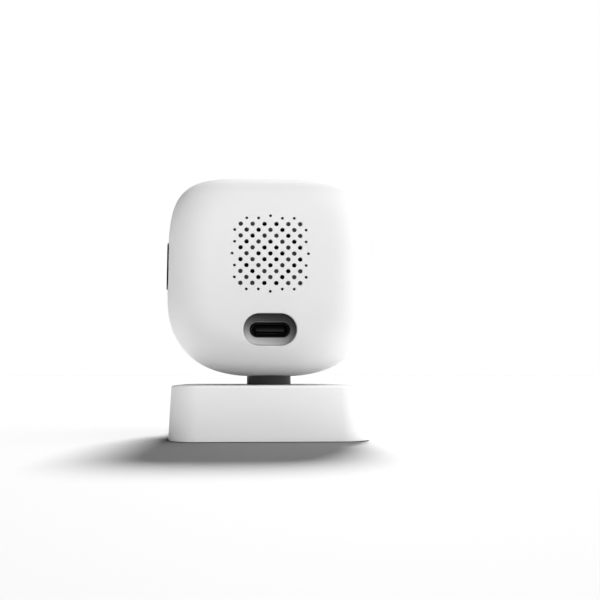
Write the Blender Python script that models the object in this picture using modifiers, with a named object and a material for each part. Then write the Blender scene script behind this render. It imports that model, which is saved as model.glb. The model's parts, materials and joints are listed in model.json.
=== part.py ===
"""Indoor security camera: a soft-cornered head that tilts on a short neck and pans over a square base.

Metres, +Z up. The origin is the middle of the foot pad's underside. The lens looks along -Y and the
speaker grille and the power inlet face +Y. The object's own left side, with its push key, is +X.
"""
import math

import bmesh
import bpy
from mathutils import Matrix, Vector

mm = 0.001

# Fits ------------------------------------------------------------------------------------------
GAP = 0.3 * mm                  # between pieces that touch or fit
SWING_GAP = 0.45 * mm           # round the neck where the head swings over it
KEY_GAP = 0.25 * mm             # round the push key in its hole

# Base ------------------------------------------------------------------------------------------
BASE_WIDTH = 47.8 * mm          # square, measured at its lower edge
BASE_DRAFT = 0.5 * mm          # each side leans in by this much at the top
BASE_HEIGHT = 12.6 * mm
BASE_CORNER = 7.0 * mm
BASE_RIM = 0.7 * mm             # rounding of the upper edge
BASE_WALL = 1.6 * mm
PAD_THICKNESS = 0.4 * mm
PAD_MARGIN = 3.4 * mm
BASE_PLATE_THICKNESS = 1.6 * mm
BASE_BOSS_RADIUS = 2.6 * mm
BASE_BOSS_INSET = 6.4 * mm      # boss centre to the outside of the base

# Pan joint -------------------------------------------------------------------------------------
NECK_RADIUS = 5.7 * mm
FLANGE_RADIUS = 9.0 * mm
FLANGE_THICKNESS = 1.5 * mm
SPIGOT_RADIUS = 3.0 * mm
PAN_WASHER_THICKNESS = 0.6 * mm
RETAINER_THICKNESS = 1.2 * mm
RETAINER_BOSS_RADIUS = 2.0 * mm
RETAINER_SCREWS = 3

# Head ------------------------------------------------------------------------------------------
NECK_GAP = 1.9 * mm             # top of the base to underside of the head
HEAD_WIDTH = 50.0 * mm
HEAD_DEPTH = 49.0 * mm
HEAD_UPPER = 27.7 * mm          # widest level up to the top
HEAD_LOWER = 21.2 * mm          # widest level down to the underside
HEAD_WALL = 1.8 * mm
UPPER_SQUARENESS = 4.75         # exponent of the upper half of the outline
LOWER_SQUARENESS = 2.81         # exponent of the rounder lower half
END_SQUARENESS = 2.2            # exponent of the roll from a side into the front or rear face
REAR_SIDE_ROLL = 10.0 * mm      # how far the rear face is drawn in at the sides
REAR_TOP_ROLL = 9.0 * mm
REAR_LOW_ROLL = 9.5 * mm
FRONT_SIDE_ROLL = 7.0 * mm
FRONT_TOP_ROLL = 5.0 * mm
FRONT_LOW_ROLL = 9.5 * mm
SIDE_RUN = 12.0 * mm            # depth over which the sides and the top roll over
LOW_RUN = 22.5 * mm             # depth over which the underside rises, long enough to let it tilt
PARTING_DEPTH = 13.5 * mm       # seam between bezel and housing, ahead of the middle
LIP_LENGTH = 2.4 * mm
LIP_THICKNESS = 1.0 * mm
OUTLINE_POINTS = 44
ROLL_STEPS = 7

# Speaker grille ---------------------------------------------------------------------------------
GRILLE_HEIGHT = 28.9 * mm       # underside of the head up to the middle of the grille
GRILLE_STEP = 1.397 * mm        # half of the pitch of the staggered holes
GRILLE_REACH = 5                # steps from the middle to the last row of large holes
OUTER_REACH = 6                 # steps to the small holes
OUTER_TIP = 6.4                 # steps to the four small holes on the axes
LARGE_HOLE_RADIUS = 0.52 * mm
SMALL_HOLE_RADIUS = 0.34 * mm
OPEN_RINGS = (0, 2, 6)          # steps from the middle, counted along both axes, that are cut through
BLIND_DEPTH = 1.2 * mm

# Power inlet ------------------------------------------------------------------------------------
INLET_HEIGHT = 11.1 * mm        # underside of the head up to the inlet's middle
RECESS_WIDTH = 12.45 * mm
RECESS_HEIGHT = 7.56 * mm
RECESS_DEPTH = 2.0 * mm
INLET_WALL = 1.2 * mm
INLET_HOLE_WIDTH = 9.4 * mm
INLET_HOLE_HEIGHT = 3.44 * mm
SHELL_WIDTH = 8.94 * mm
SHELL_HEIGHT = 3.26 * mm
SHELL_LENGTH = 7.3 * mm
SHELL_WALL = 0.3 * mm
TONGUE_WIDTH = 6.69 * mm
TONGUE_THICKNESS = 0.7 * mm

# Push key ---------------------------------------------------------------------------------------
KEY_HEIGHT = 11.6 * mm
KEY_WIDTH = 4.6 * mm
KEY_LEVEL = 27.0 * mm           # underside of the head up to the key's middle
KEY_DEPTH = 14.2 * mm           # behind the middle of the head
KEY_PROUD = 0.15 * mm           # the key's crown follows the head's surface, this far outside it
KEY_TRAVEL = 0.4 * mm
KEY_FLANGE = 1.1 * mm           # flange width all round, behind the wall
KEY_FLANGE_THICKNESS = 0.8 * mm

# Tilt joint -------------------------------------------------------------------------------------
TILT_HEIGHT = 13.0 * mm         # underside of the head up to the tilt pin
TILT_ANGLE = math.radians(12)
TONGUE_HALF = 3.0 * mm
TONGUE_REACH = 4.5 * mm
PIN_RADIUS = 1.5 * mm
WASHER_THICKNESS = 0.8 * mm
BRACKET_SHEET = 1.6 * mm
BRACKET_HALF_DEPTH = 5.0 * mm
BRACKET_FOOT = 8.0 * mm

# Window and camera ------------------------------------------------------------------------------
LENS_HEIGHT = 26.2 * mm         # underside of the head up to the lens axis
WINDOW_RADIUS = 15.5 * mm
WINDOW_THICKNESS = 1.3 * mm
WINDOW_SINK = 0.1 * mm
WINDOW_LEDGE = 1.4 * mm
BEZEL_WALL = 3.0 * mm
BARREL_RADIUS = 5.8 * mm
BARREL_SEAT_RADIUS = 4.8 * mm
FRONT_GLASS_RADIUS = 4.3 * mm
REAR_GLASS_RADIUS = 3.3 * mm
HOLDER_SIZE = 15.0 * mm
CAMERA_BOARD_SIZE = 26.0 * mm
BOARD_THICKNESS = 1.2 * mm
LED_CIRCLE = 10.5 * mm
LED_RADIUS = 1.5 * mm

# Speaker ----------------------------------------------------------------------------------------
CLOTH_RADIUS = 9.7 * mm
CLOTH_THICKNESS = 0.3 * mm
SPEAKER_RADIUS = 11.4 * mm
SPEAKER_DEPTH = 5.4 * mm
MAGNET_RADIUS = 6.0 * mm
MAGNET_DEPTH = 3.0 * mm
GASKET_THICKNESS = 0.9 * mm
GASKET_WIDTH = 1.4 * mm

# Fasteners --------------------------------------------------------------------------------------
SCREW_RADIUS = 0.8 * mm
SCREW_HEAD_RADIUS = 1.6 * mm
SCREW_HEAD = 0.7 * mm

# Levels worked out from the sizes above ---------------------------------------------------------
BASE_BOTTOM = PAD_THICKNESS
BASE_TOP = BASE_BOTTOM + BASE_HEIGHT
HEAD_BOTTOM = BASE_TOP + NECK_GAP
HEAD_LEVEL = HEAD_BOTTOM + HEAD_LOWER
GRILLE_LEVEL = HEAD_BOTTOM + GRILLE_HEIGHT
LENS_LEVEL = HEAD_BOTTOM + LENS_HEIGHT
INLET_LEVEL = HEAD_BOTTOM + INLET_HEIGHT
TILT_LEVEL = HEAD_BOTTOM + TILT_HEIGHT
KEY_CENTRE_LEVEL = HEAD_BOTTOM + KEY_LEVEL
REAR_FACE = HEAD_DEPTH / 2
FRONT_FACE = -HEAD_DEPTH / 2
PARTING = -PARTING_DEPTH
REAR_INSIDE = REAR_FACE - HEAD_WALL

BASE_CEILING = BASE_TOP - BASE_WALL
FLANGE_TOP = BASE_CEILING - GAP
FLANGE_BOTTOM = FLANGE_TOP - FLANGE_THICKNESS
PAN_WASHER_TOP = FLANGE_BOTTOM - GAP
PAN_WASHER_BOTTOM = PAN_WASHER_TOP - PAN_WASHER_THICKNESS
RETAINER_TOP = PAN_WASHER_BOTTOM - GAP
RETAINER_BOTTOM = RETAINER_TOP - RETAINER_THICKNESS
RETAINER_BOSS_CIRCLE = FLANGE_RADIUS + RETAINER_BOSS_RADIUS + 1.4 * mm
RETAINER_RADIUS = RETAINER_BOSS_CIRCLE + RETAINER_BOSS_RADIUS + 0.8 * mm
PLATE_BOTTOM = BASE_BOTTOM + GAP
PLATE_TOP = PLATE_BOTTOM + BASE_PLATE_THICKNESS
WEIGHT_TOP = RETAINER_BOTTOM - 2 * GAP - SCREW_HEAD
WEIGHT_BOTTOM = PLATE_TOP + GAP
BASE_BOSS_PLACE = BASE_WIDTH / 2 - BASE_BOSS_INSET
WEIGHT_RADIUS = math.sqrt(2) * BASE_BOSS_PLACE - BASE_BOSS_RADIUS - 1.2 * mm

# Scene ------------------------------------------------------------------------------------------


def clear_scene():
    """Start from an empty scene."""
    for item in list(bpy.data.objects):
        bpy.data.objects.remove(item, do_unlink=True)


def new_collection(name):
    """Make a collection in the scene."""
    made = bpy.data.collections.new(name)
    bpy.context.scene.collection.children.link(made)
    return made


def new_axis(name, place):
    """Make an empty on a joint's axis, which its moving pieces are parented to."""
    empty = bpy.data.objects.new(name, None)
    empty.location = place
    PARTS.objects.link(empty)
    return empty


def new_material(name, colour, roughness, metallic=0.0):
    """Make a Principled material."""
    made = bpy.data.materials.new(name)
    made.use_nodes = True
    shader = made.node_tree.nodes["Principled BSDF"]
    shader.inputs["Base Color"].default_value = (*colour, 1.0)
    shader.inputs["Roughness"].default_value = roughness
    shader.inputs["Metallic"].default_value = metallic
    return made


clear_scene()
PARTS = new_collection("security_camera")
CUTTERS = new_collection("cutters")

WHITE = ((0.83, 0.83, 0.83), 0.45)
DARK = ((0.07, 0.07, 0.075), 0.5)
BLACK = ((0.012, 0.012, 0.013), 0.3)
BOARD = ((0.02, 0.09, 0.04), 0.5)
CHIP = ((0.02, 0.02, 0.022), 0.4)
STEEL = ((0.56, 0.57, 0.58), 0.3, 1.0)
ALLOY = ((0.75, 0.76, 0.77), 0.35, 1.0)
GLASS = ((0.6, 0.65, 0.75), 0.05)
FOAM = ((0.03, 0.03, 0.03), 0.9)

# Mesh helpers -----------------------------------------------------------------------------------


def mesh_object(name, bm, look=None, axis=None):
    """Turn a bmesh into a named part, or into a cutter when it has no look."""
    bmesh.ops.recalc_face_normals(bm, faces=bm.faces)
    if bm.calc_volume(signed=True) < 0:
        bmesh.ops.reverse_faces(bm, faces=bm.faces)
    mesh = bpy.data.meshes.new(name)
    bm.to_mesh(mesh)
    bm.free()
    return finish_object(bpy.data.objects.new(name, mesh), look, axis)


def finish_object(item, look, axis):
    """Put an object in its collection with its material, parent and shading."""
    if look is None:
        CUTTERS.objects.link(item)
        item.display_type = "WIRE"
        item.hide_render = True
        item.hide_viewport = False
        return item
    PARTS.objects.link(item)
    item.data.materials.clear()
    item.data.materials.append(new_material(item.name, *look))
    item.data.shade_smooth()
    item.data.set_sharp_from_angle(angle=math.radians(35))
    if axis is not None:
        item.parent = axis
        item.matrix_parent_inverse = Matrix.Translation(axis.location).inverted()
    return item


def boolean(target, other, operation="DIFFERENCE"):
    """Cut or join with another object, which is kept as a cutter."""
    modifier = target.modifiers.new(operation.lower(), "BOOLEAN")
    modifier.operation = operation
    modifier.solver = "EXACT"
    modifier.object = other
    return target


def loft(rings):
    """Skin a stack of outlines with the same number of points, and close both ends."""
    bm = bmesh.new()
    rows = [[bm.verts.new(point) for point in ring] for ring in rings]
    count = len(rows[0])
    for low, high in zip(rows, rows[1:]):
        for k in range(count):
            bm.faces.new((low[k], low[(k + 1) % count], high[(k + 1) % count], high[k]))
    bm.faces.new(rows[0])
    bm.faces.new(rows[-1])
    return bm


def block(size, centre):
    """A box as a bmesh."""
    bm = bmesh.new()
    bmesh.ops.create_cube(bm, size=1.0, matrix=Matrix.Translation(centre) @ Matrix.Diagonal((*size, 1.0)))
    return bm


AXIS_TURN = {
    "X": Matrix.Rotation(math.radians(90), 4, "Y"),
    "Y": Matrix.Rotation(math.radians(-90), 4, "X"),
    "Z": Matrix.Identity(4),
}


def add_rod(bm, radius, start, end, along="Z", segments=12):
    """Add a cylinder that runs between two values of one axis, from a point on its centre line."""
    place, low, high = start[0], start[1], end
    middle = Vector(place)
    middle["XYZ".index(along)] = (low + high) / 2
    bmesh.ops.create_cone(
        bm, cap_ends=True, segments=segments, radius1=radius, radius2=radius, depth=high - low,
        matrix=Matrix.Translation(middle) @ AXIS_TURN[along])
    return bm


def rod(radius, place, low, high, along="Z", segments=12):
    """A cylinder as a bmesh: its centre line passes through place, and it runs from low to high."""
    return add_rod(bmesh.new(), radius, (place, low), high, along, segments)


def turned(name, profile, look, place=(0, 0, 0), along="Z", segments=32, axis=None):
    """Turn a closed profile of (radius, distance) points about one axis with a Screw modifier."""
    bm = bmesh.new()
    points = [bm.verts.new((radius, 0, reach)) for radius, reach in profile]
    for k, point in enumerate(points):
        following = points[(k + 1) % len(points)]
        on_axis = abs(point.co.x) < 1e-9 and abs(following.co.x) < 1e-9
        if not on_axis:
            bm.edges.new((point, following))
    mesh = bpy.data.meshes.new(name)
    bm.to_mesh(mesh)
    bm.free()
    item = bpy.data.objects.new(name, mesh)
    screw = item.modifiers.new("turn", "SCREW")
    screw.axis = "Z"
    screw.angle = math.tau
    screw.steps = segments
    screw.render_steps = segments
    screw.use_merge_vertices = True
    screw.merge_threshold = 0.00001
    item.matrix_world = Matrix.Translation(place) @ AXIS_TURN[along]
    finish_object(item, look, axis)
    return item


def outline_solid(name, outline, low, high, look, along="Z", axis=None):
    """Extrude a flat outline, given on the two axes left over, along one axis from low to high."""
    curve = bpy.data.curves.new(name, "CURVE")
    curve.dimensions = "2D"
    curve.fill_mode = "BOTH"
    curve.extrude = (high - low) / 2
    spline = curve.splines.new("POLY")
    spline.points.add(len(outline) - 1)
    for point, (across, up) in zip(spline.points, outline):
        point.co = (across, up, 0, 1)
    spline.use_cyclic_u = True
    drawn = bpy.data.objects.new(name + "_outline", curve)
    bpy.context.scene.collection.objects.link(drawn)
    bpy.context.view_layer.update()
    flat = bpy.data.meshes.new_from_object(drawn.evaluated_get(bpy.context.evaluated_depsgraph_get()))
    bpy.data.objects.remove(drawn, do_unlink=True)
    bm = bmesh.new()
    bm.from_mesh(flat)
    bmesh.ops.remove_doubles(bm, verts=bm.verts, dist=0.00001)
    middle = (low + high) / 2
    turn = {
        "X": Matrix(((0, 0, 1, middle), (1, 0, 0, 0), (0, 1, 0, 0), (0, 0, 0, 1))),
        "Y": Matrix(((1, 0, 0, 0), (0, 0, 1, middle), (0, 1, 0, 0), (0, 0, 0, 1))),
        "Z": Matrix.Translation((0, 0, middle)),
    }[along]
    bm.transform(turn)
    return mesh_object(name, bm, look, axis)


def rounded_outline(width, height, radius, centre=(0, 0), corner_steps=4):
    """A rectangle with round corners; a radius of half the height makes a pill."""
    points = []
    for quarter, (sx, sy) in enumerate(((1, 1), (-1, 1), (-1, -1), (1, -1))):
        middle = (centre[0] + sx * (width / 2 - radius), centre[1] + sy * (height / 2 - radius))
        for step in range(corner_steps + 1):
            angle = math.radians(90) * (quarter + step / corner_steps)
            point = (middle[0] + radius * math.cos(angle), middle[1] + radius * math.sin(angle))
            if not points or math.dist(points[-1], point) > 1e-6:
                points.append(point)
    if math.dist(points[0], points[-1]) < 1e-6:
        points.pop()
    return points


def ring_profile(inner, outer, low, high):
    """The section of a plain ring, running down its outer side."""
    return [(outer, high), (outer, low), (inner, low), (inner, high)]


def screw(name, place, seat, tip, look, along="Z", axis=None):
    """A pan-head screw: its head lies outside the seat, and its shank runs on to the tip."""
    outward = math.copysign(1.0, seat - tip)
    crown = seat + outward * SCREW_HEAD
    bm = rod(SCREW_RADIUS, place, min(tip, seat), max(tip, seat), along, segments=8)
    item = mesh_object(name, bm, look, axis)
    head = mesh_object(
        name + "_head",
        rod(SCREW_HEAD_RADIUS, place, min(seat, crown) - 0.05 * mm * (outward > 0),
            max(seat, crown) + 0.05 * mm * (outward < 0), along, segments=12),
        None)
    return boolean(item, head, "UNION")


# Head form --------------------------------------------------------------------------------------


def roll(share):
    """Rise of a rounded edge from 0 to 1 as share goes from 0 to 1."""
    share = min(max(share, 0.0), 1.0)
    return 1 - (1 - share ** END_SQUARENESS) ** (1 / END_SQUARENESS)


def head_reach(y, inset):
    """Half width, height above and depth below the widest level at one depth, drawn in by an inset."""
    if y > 0:
        side_roll, top_roll, low_roll = REAR_SIDE_ROLL, REAR_TOP_ROLL, REAR_LOW_ROLL
    else:
        side_roll, top_roll, low_roll = FRONT_SIDE_ROLL, FRONT_TOP_ROLL, FRONT_LOW_ROLL
    past_sides = roll((abs(y) - (REAR_FACE - SIDE_RUN)) / (SIDE_RUN - inset))
    past_low = roll((abs(y) - (REAR_FACE - LOW_RUN)) / (LOW_RUN - inset))
    half_width = HEAD_WIDTH / 2 - inset - (side_roll - inset) * past_sides
    upper = HEAD_UPPER - inset - (top_roll - inset) * past_sides
    lower = HEAD_LOWER - inset - (low_roll - inset) * past_low
    return half_width, upper, lower


def side_reach(y, z, inset):
    """Half width of the head above its widest level, at one depth and level."""
    half_width, upper, _ = head_reach(y, inset)
    rise = ((z - HEAD_LEVEL) / upper) ** UPPER_SQUARENESS
    return half_width * (1 - rise) ** (1 / UPPER_SQUARENESS)


def head_outline(y, inset):
    """Outline of the head at one depth, drawn in evenly by an inset."""
    half_width, upper, lower = head_reach(y, inset)
    points = []
    for k in range(OUTLINE_POINTS):
        angle = math.tau * k / OUTLINE_POINTS
        across, up = math.cos(angle), math.sin(angle)
        power = 2 / (UPPER_SQUARENESS if up > 0 else LOWER_SQUARENESS)
        height = upper if up > 0 else lower
        x = half_width * math.copysign(abs(across) ** power, across)
        z = height * math.copysign(abs(up) ** power, up)
        points.append((x, y, HEAD_LEVEL + z))
    return points


def head_solid(name, front, rear, inset, look=None, axis=None):
    """The head's form between two depths, closed flat at both, drawn in by an inset."""
    stations = [front, rear]
    for k in range(ROLL_STEPS + 1):
        reach = REAR_FACE - LOW_RUN + (LOW_RUN - inset) * math.sin(math.radians(90) * k / ROLL_STEPS)
        stations += [y for y in (-reach, reach) if front + 0.2 * mm < y < rear - 0.01 * mm]
    return mesh_object(name, loft([head_outline(y, inset) for y in sorted(stations)]), look, axis)


# Base -------------------------------------------------------------------------------------------


def base_form(name, inset, low, high, rim, look=None):
    """The drafted square of the base between two levels, drawn in by an inset."""
    def half_at(level):
        return BASE_WIDTH / 2 - BASE_DRAFT * (level - BASE_BOTTOM) / BASE_HEIGHT - inset
    corner = max(BASE_CORNER - inset, 1.0 * mm)

    def ring(level, drawn_in):
        half = half_at(level) - drawn_in
        outline = rounded_outline(2 * half, 2 * half, max(corner - drawn_in, 0.6 * mm), corner_steps=5)
        return [(x, y, level) for x, y in outline]
    rings = [ring(low, 0)]
    if rim:
        for step in range(4):
            angle = math.radians(90) * step / 3
            rings.append(ring(high - rim * (1 - math.sin(angle)), rim * (1 - math.cos(angle))))
    else:
        rings.append(ring(high, 0))
    return mesh_object(name, loft(rings), look)


def corner_places(reach):
    """The four corners of a square."""
    return [(reach, reach), (-reach, reach), (-reach, -reach), (reach, -reach)]


def circle_places(radius, count, start=90.0):
    """Evenly spaced places on a circle."""
    angles = [math.radians(start + 360 * k / count) for k in range(count)]
    return [(radius * math.cos(angle), radius * math.sin(angle)) for angle in angles]


def make_base():
    """Cover, plate, weight, foot pad and their screws."""
    cover = base_form("base_cover", 0, BASE_BOTTOM, BASE_TOP, BASE_RIM, WHITE)
    hollow = base_form("base_hollow", BASE_WALL, BASE_BOTTOM - 1 * mm, BASE_CEILING, 0)
    bosses = bmesh.new()
    for x, y in corner_places(BASE_BOSS_PLACE):
        add_rod(bosses, BASE_BOSS_RADIUS, ((x, y, 0), PLATE_TOP + GAP), BASE_TOP)
    for x, y in circle_places(RETAINER_BOSS_CIRCLE, RETAINER_SCREWS):
        add_rod(bosses, RETAINER_BOSS_RADIUS, ((x, y, 0), RETAINER_TOP + GAP), BASE_TOP)
    boolean(hollow, mesh_object("base_bosses", bosses, None))
    boolean(cover, hollow)
    holes = rod(NECK_RADIUS + GAP, (0, 0, 0), BASE_CEILING - 1 * mm, BASE_TOP + 1 * mm, segments=32)
    screw_hole = SCREW_RADIUS + GAP
    for x, y in corner_places(BASE_BOSS_PLACE):
        add_rod(holes, screw_hole, ((x, y, 0), PLATE_TOP - 1 * mm), BASE_CEILING - 1 * mm, segments=8)
    for x, y in circle_places(RETAINER_BOSS_CIRCLE, RETAINER_SCREWS):
        add_rod(holes, screw_hole, ((x, y, 0), RETAINER_TOP - 0.2 * mm), BASE_CEILING, segments=8)
    boolean(cover, mesh_object("base_holes", holes, None))

    plate = base_form("base_plate", BASE_WALL + GAP, PLATE_BOTTOM, PLATE_TOP, 0, DARK)
    plate_holes = bmesh.new()
    counterbore = PLATE_BOTTOM + SCREW_HEAD + GAP
    for x, y in corner_places(BASE_BOSS_PLACE):
        add_rod(plate_holes, SCREW_HEAD_RADIUS + GAP, ((x, y, 0), PLATE_BOTTOM - 1 * mm), counterbore)
    boolean(plate, mesh_object("plate_counterbores", plate_holes, None))
    through = bmesh.new()
    for x, y in corner_places(BASE_BOSS_PLACE):
        add_rod(through, screw_hole, ((x, y, 0), PLATE_BOTTOM), PLATE_TOP + 1 * mm, segments=8)
    boolean(plate, mesh_object("plate_holes", through, None))
    for k, (x, y) in enumerate(corner_places(BASE_BOSS_PLACE), 1):
        seat = counterbore - GAP
        screw(f"base_screw_{k}", (x, y, 0), seat, BASE_CEILING - 2 * mm, STEEL)

    weight = rod(WEIGHT_RADIUS, (0, 0, 0), WEIGHT_BOTTOM, WEIGHT_TOP, segments=24)
    mesh_object("base_weight", weight, STEEL)

    pad_width = BASE_WIDTH - 2 * PAD_MARGIN
    pad_corner = max(BASE_CORNER - PAD_MARGIN, 1 * mm)
    pad_outline = rounded_outline(pad_width, pad_width, pad_corner)
    outline_solid("foot_pad", pad_outline, 0, PAD_THICKNESS, FOAM)


def make_retainer():
    """The ring plate that holds the neck's flange up under the cover, with its screws."""
    retainer = turned(
        "pan_retainer", ring_profile(SPIGOT_RADIUS + GAP, RETAINER_RADIUS, RETAINER_BOTTOM, RETAINER_TOP),
        ALLOY, segments=24)
    holes = bmesh.new()
    places = circle_places(RETAINER_BOSS_CIRCLE, RETAINER_SCREWS)
    for x, y in places:
        add_rod(holes, SCREW_RADIUS + GAP, ((x, y, 0), RETAINER_BOTTOM - 1 * mm), RETAINER_TOP + 1 * mm,
                segments=8)
    boolean(retainer, mesh_object("retainer_holes", holes, None))
    for k, (x, y) in enumerate(places, 1):
        screw(f"pan_screw_{k}", (x, y, 0), RETAINER_BOTTOM - GAP, BASE_CEILING - 0.4 * mm, STEEL)


# Neck -------------------------------------------------------------------------------------------


def make_neck(axis):
    """The neck with its flange, spigot and tongue, and the washers that turn with it."""
    shoulder = HEAD_BOTTOM + HEAD_WALL + 0.8 * mm
    stem = turned(
        "neck_stem",
        [(0, shoulder), (NECK_RADIUS, shoulder), (NECK_RADIUS, FLANGE_TOP), (FLANGE_RADIUS, FLANGE_TOP),
         (FLANGE_RADIUS, FLANGE_BOTTOM), (SPIGOT_RADIUS, FLANGE_BOTTOM),
         (SPIGOT_RADIUS, RETAINER_BOTTOM), (0, RETAINER_BOTTOM)],
        DARK, segments=32, axis=axis)
    tongue_low = shoulder - 0.5 * mm
    tongue = mesh_object(
        "neck_tongue",
        block((2 * TONGUE_HALF, 2 * TONGUE_REACH, TILT_LEVEL - tongue_low),
              (0, 0, (TILT_LEVEL + tongue_low) / 2)),
        None)
    crown = rod(TONGUE_REACH, (0, 0, TILT_LEVEL), -TONGUE_HALF, TONGUE_HALF, "X", segments=24)
    boolean(tongue, mesh_object("neck_crown", crown, None), "UNION")
    boolean(stem, tongue, "UNION")
    bore = rod(PIN_RADIUS + GAP, (0, 0, TILT_LEVEL), -2 * TONGUE_HALF, 2 * TONGUE_HALF, "X", segments=16)
    boolean(stem, mesh_object("neck_bore", bore, None))
    turned("pan_washer",
           ring_profile(SPIGOT_RADIUS + GAP, FLANGE_RADIUS, PAN_WASHER_BOTTOM, PAN_WASHER_TOP),
           FOAM, segments=24, axis=axis)
    inner = TONGUE_HALF + GAP
    for side, name in ((1, "friction_washer_left"), (-1, "friction_washer_right")):
        ends = sorted((side * inner, side * (inner + WASHER_THICKNESS)))
        turned(name, ring_profile(PIN_RADIUS + GAP, TONGUE_REACH - GAP, *ends), BLACK,
               (0, 0, TILT_LEVEL), "X", 16, axis)


# Tilt bracket -----------------------------------------------------------------------------------

EAR_INSIDE = TONGUE_HALF + WASHER_THICKNESS + 2 * GAP
EAR_OUTSIDE = EAR_INSIDE + BRACKET_SHEET
SHOULDER_DROP = TILT_HEIGHT - HEAD_WALL - 0.8 * mm
SHOULDER_RISE = SHOULDER_DROP * math.cos(TILT_ANGLE) - NECK_RADIUS * math.sin(TILT_ANGLE)
FOOT_BOTTOM = TILT_LEVEL - SHOULDER_RISE + GAP
FOOT_TOP = FOOT_BOTTOM + BRACKET_SHEET
BRIDGE_BOTTOM = TILT_LEVEL + TONGUE_REACH + 0.5 * mm
BRIDGE_TOP = BRIDGE_BOTTOM + BRACKET_SHEET
FOOT_SCREW_X = EAR_OUTSIDE + BRACKET_FOOT - 2.6 * mm
FOOT_SCREW_Y = BRACKET_HALF_DEPTH - 2.2 * mm
FOOT_PLACES = [(sx * FOOT_SCREW_X, sy * FOOT_SCREW_Y) for sx in (1, -1) for sy in (1, -1)]
BRACKET_BOSS_RADIUS = 2.0 * mm


def make_tilt_bracket(axis):
    """The hat-shaped bracket, its pin with a clip, and the screws that hold it in the housing."""
    right = [(EAR_INSIDE, BRIDGE_BOTTOM), (EAR_INSIDE, FOOT_BOTTOM),
             (EAR_OUTSIDE + BRACKET_FOOT, FOOT_BOTTOM), (EAR_OUTSIDE + BRACKET_FOOT, FOOT_TOP),
             (EAR_OUTSIDE, FOOT_TOP), (EAR_OUTSIDE, BRIDGE_TOP)]
    outline = right + [(-x, z) for x, z in reversed(right)]
    bracket = outline_solid("tilt_bracket", outline, -BRACKET_HALF_DEPTH, BRACKET_HALF_DEPTH, STEEL,
                            "Y", axis)
    bores = rod(PIN_RADIUS + GAP, (0, 0, TILT_LEVEL), -2 * EAR_OUTSIDE, 2 * EAR_OUTSIDE, "X")
    for x, y in FOOT_PLACES:
        add_rod(bores, SCREW_RADIUS + GAP, ((x, y, 0), FOOT_BOTTOM - 1 * mm), FOOT_TOP + 1 * mm, segments=8)
    boolean(bracket, mesh_object("bracket_bores", bores, None))
    for k, (x, y) in enumerate(FOOT_PLACES, 1):
        screw(f"bracket_screw_{k}", (x, y, 0), FOOT_TOP + GAP, FOOT_BOTTOM - 1.6 * mm, STEEL, axis=axis)

    pin_head = EAR_OUTSIDE + GAP
    groove = -(EAR_OUTSIDE + GAP)
    groove_radius = PIN_RADIUS * 0.6
    turned("tilt_pin",
           [(0, pin_head + 1 * mm), (PIN_RADIUS + 1 * mm, pin_head + 1 * mm), (PIN_RADIUS + 1 * mm, pin_head),
            (PIN_RADIUS, pin_head), (PIN_RADIUS, groove), (groove_radius, groove),
            (groove_radius, groove - 1.1 * mm), (PIN_RADIUS, groove - 1.1 * mm),
            (PIN_RADIUS, groove - 1.9 * mm), (0, groove - 1.9 * mm)],
           STEEL, (0, 0, TILT_LEVEL), "X", 12, axis)
    clip = turned("pin_clip",
                  ring_profile(groove_radius + GAP, PIN_RADIUS + 1.3 * mm, groove - 0.8 * mm,
                               groove - 0.3 * mm),
                  ALLOY, (0, 0, TILT_LEVEL), "X", 16, axis)
    mouth = block((2 * mm, 1.6 * groove_radius, 4 * mm), (groove - 0.55 * mm, 0, TILT_LEVEL - 2 * mm))
    boolean(clip, mesh_object("clip_mouth", mouth, None))


# Head shells ------------------------------------------------------------------------------------

SLOT_HALF_WIDTH = NECK_RADIUS + SWING_GAP
SLOT_HALF_LENGTH = (NECK_RADIUS * math.cos(TILT_ANGLE) + TILT_HEIGHT * math.sin(TILT_ANGLE)
                    + SWING_GAP)
MAIN_BOARD_FRONT = 9.0 * mm
MAIN_BOARD_REAR = MAIN_BOARD_FRONT + BOARD_THICKNESS
MAIN_BOARD_WIDTH = 32.0 * mm
MAIN_BOARD_LOW = BRIDGE_TOP + 1.6 * mm
MAIN_BOARD_HIGH = HEAD_LEVEL + HEAD_UPPER - 5.5 * mm
BOARD_SCREW_X = MAIN_BOARD_WIDTH / 2 - 2.6 * mm
BOARD_SCREW_Z = MAIN_BOARD_HIGH - 2.6 * mm
BOARD_BOSS_RADIUS = 2.0 * mm
KEY_OUTSIDE = HEAD_WIDTH / 2 + KEY_PROUD
KEY_CENTRE = (KEY_DEPTH, KEY_CENTRE_LEVEL)
RECESS_FLOOR = REAR_FACE - RECESS_DEPTH
INLET_INSIDE = RECESS_FLOOR - INLET_WALL


def grille_holes():
    """Yield the place, radius and through-or-blind state of every hole in the grille."""
    for i in range(-GRILLE_REACH, GRILLE_REACH + 1):
        for j in range(-GRILLE_REACH, GRILLE_REACH + 1):
            if (i + j) % 2 == 0:
                yield i, j, LARGE_HOLE_RADIUS, abs(i) + abs(j) in OPEN_RINGS
    for sign in (1, -1):
        yield 0, sign * OUTER_TIP, SMALL_HOLE_RADIUS, True
        yield sign * OUTER_TIP, 0, SMALL_HOLE_RADIUS, True
        for step in (-4, -2, 2, 4):
            yield step, sign * OUTER_REACH, SMALL_HOLE_RADIUS, True
            yield sign * OUTER_REACH, step, SMALL_HOLE_RADIUS, True


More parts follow.
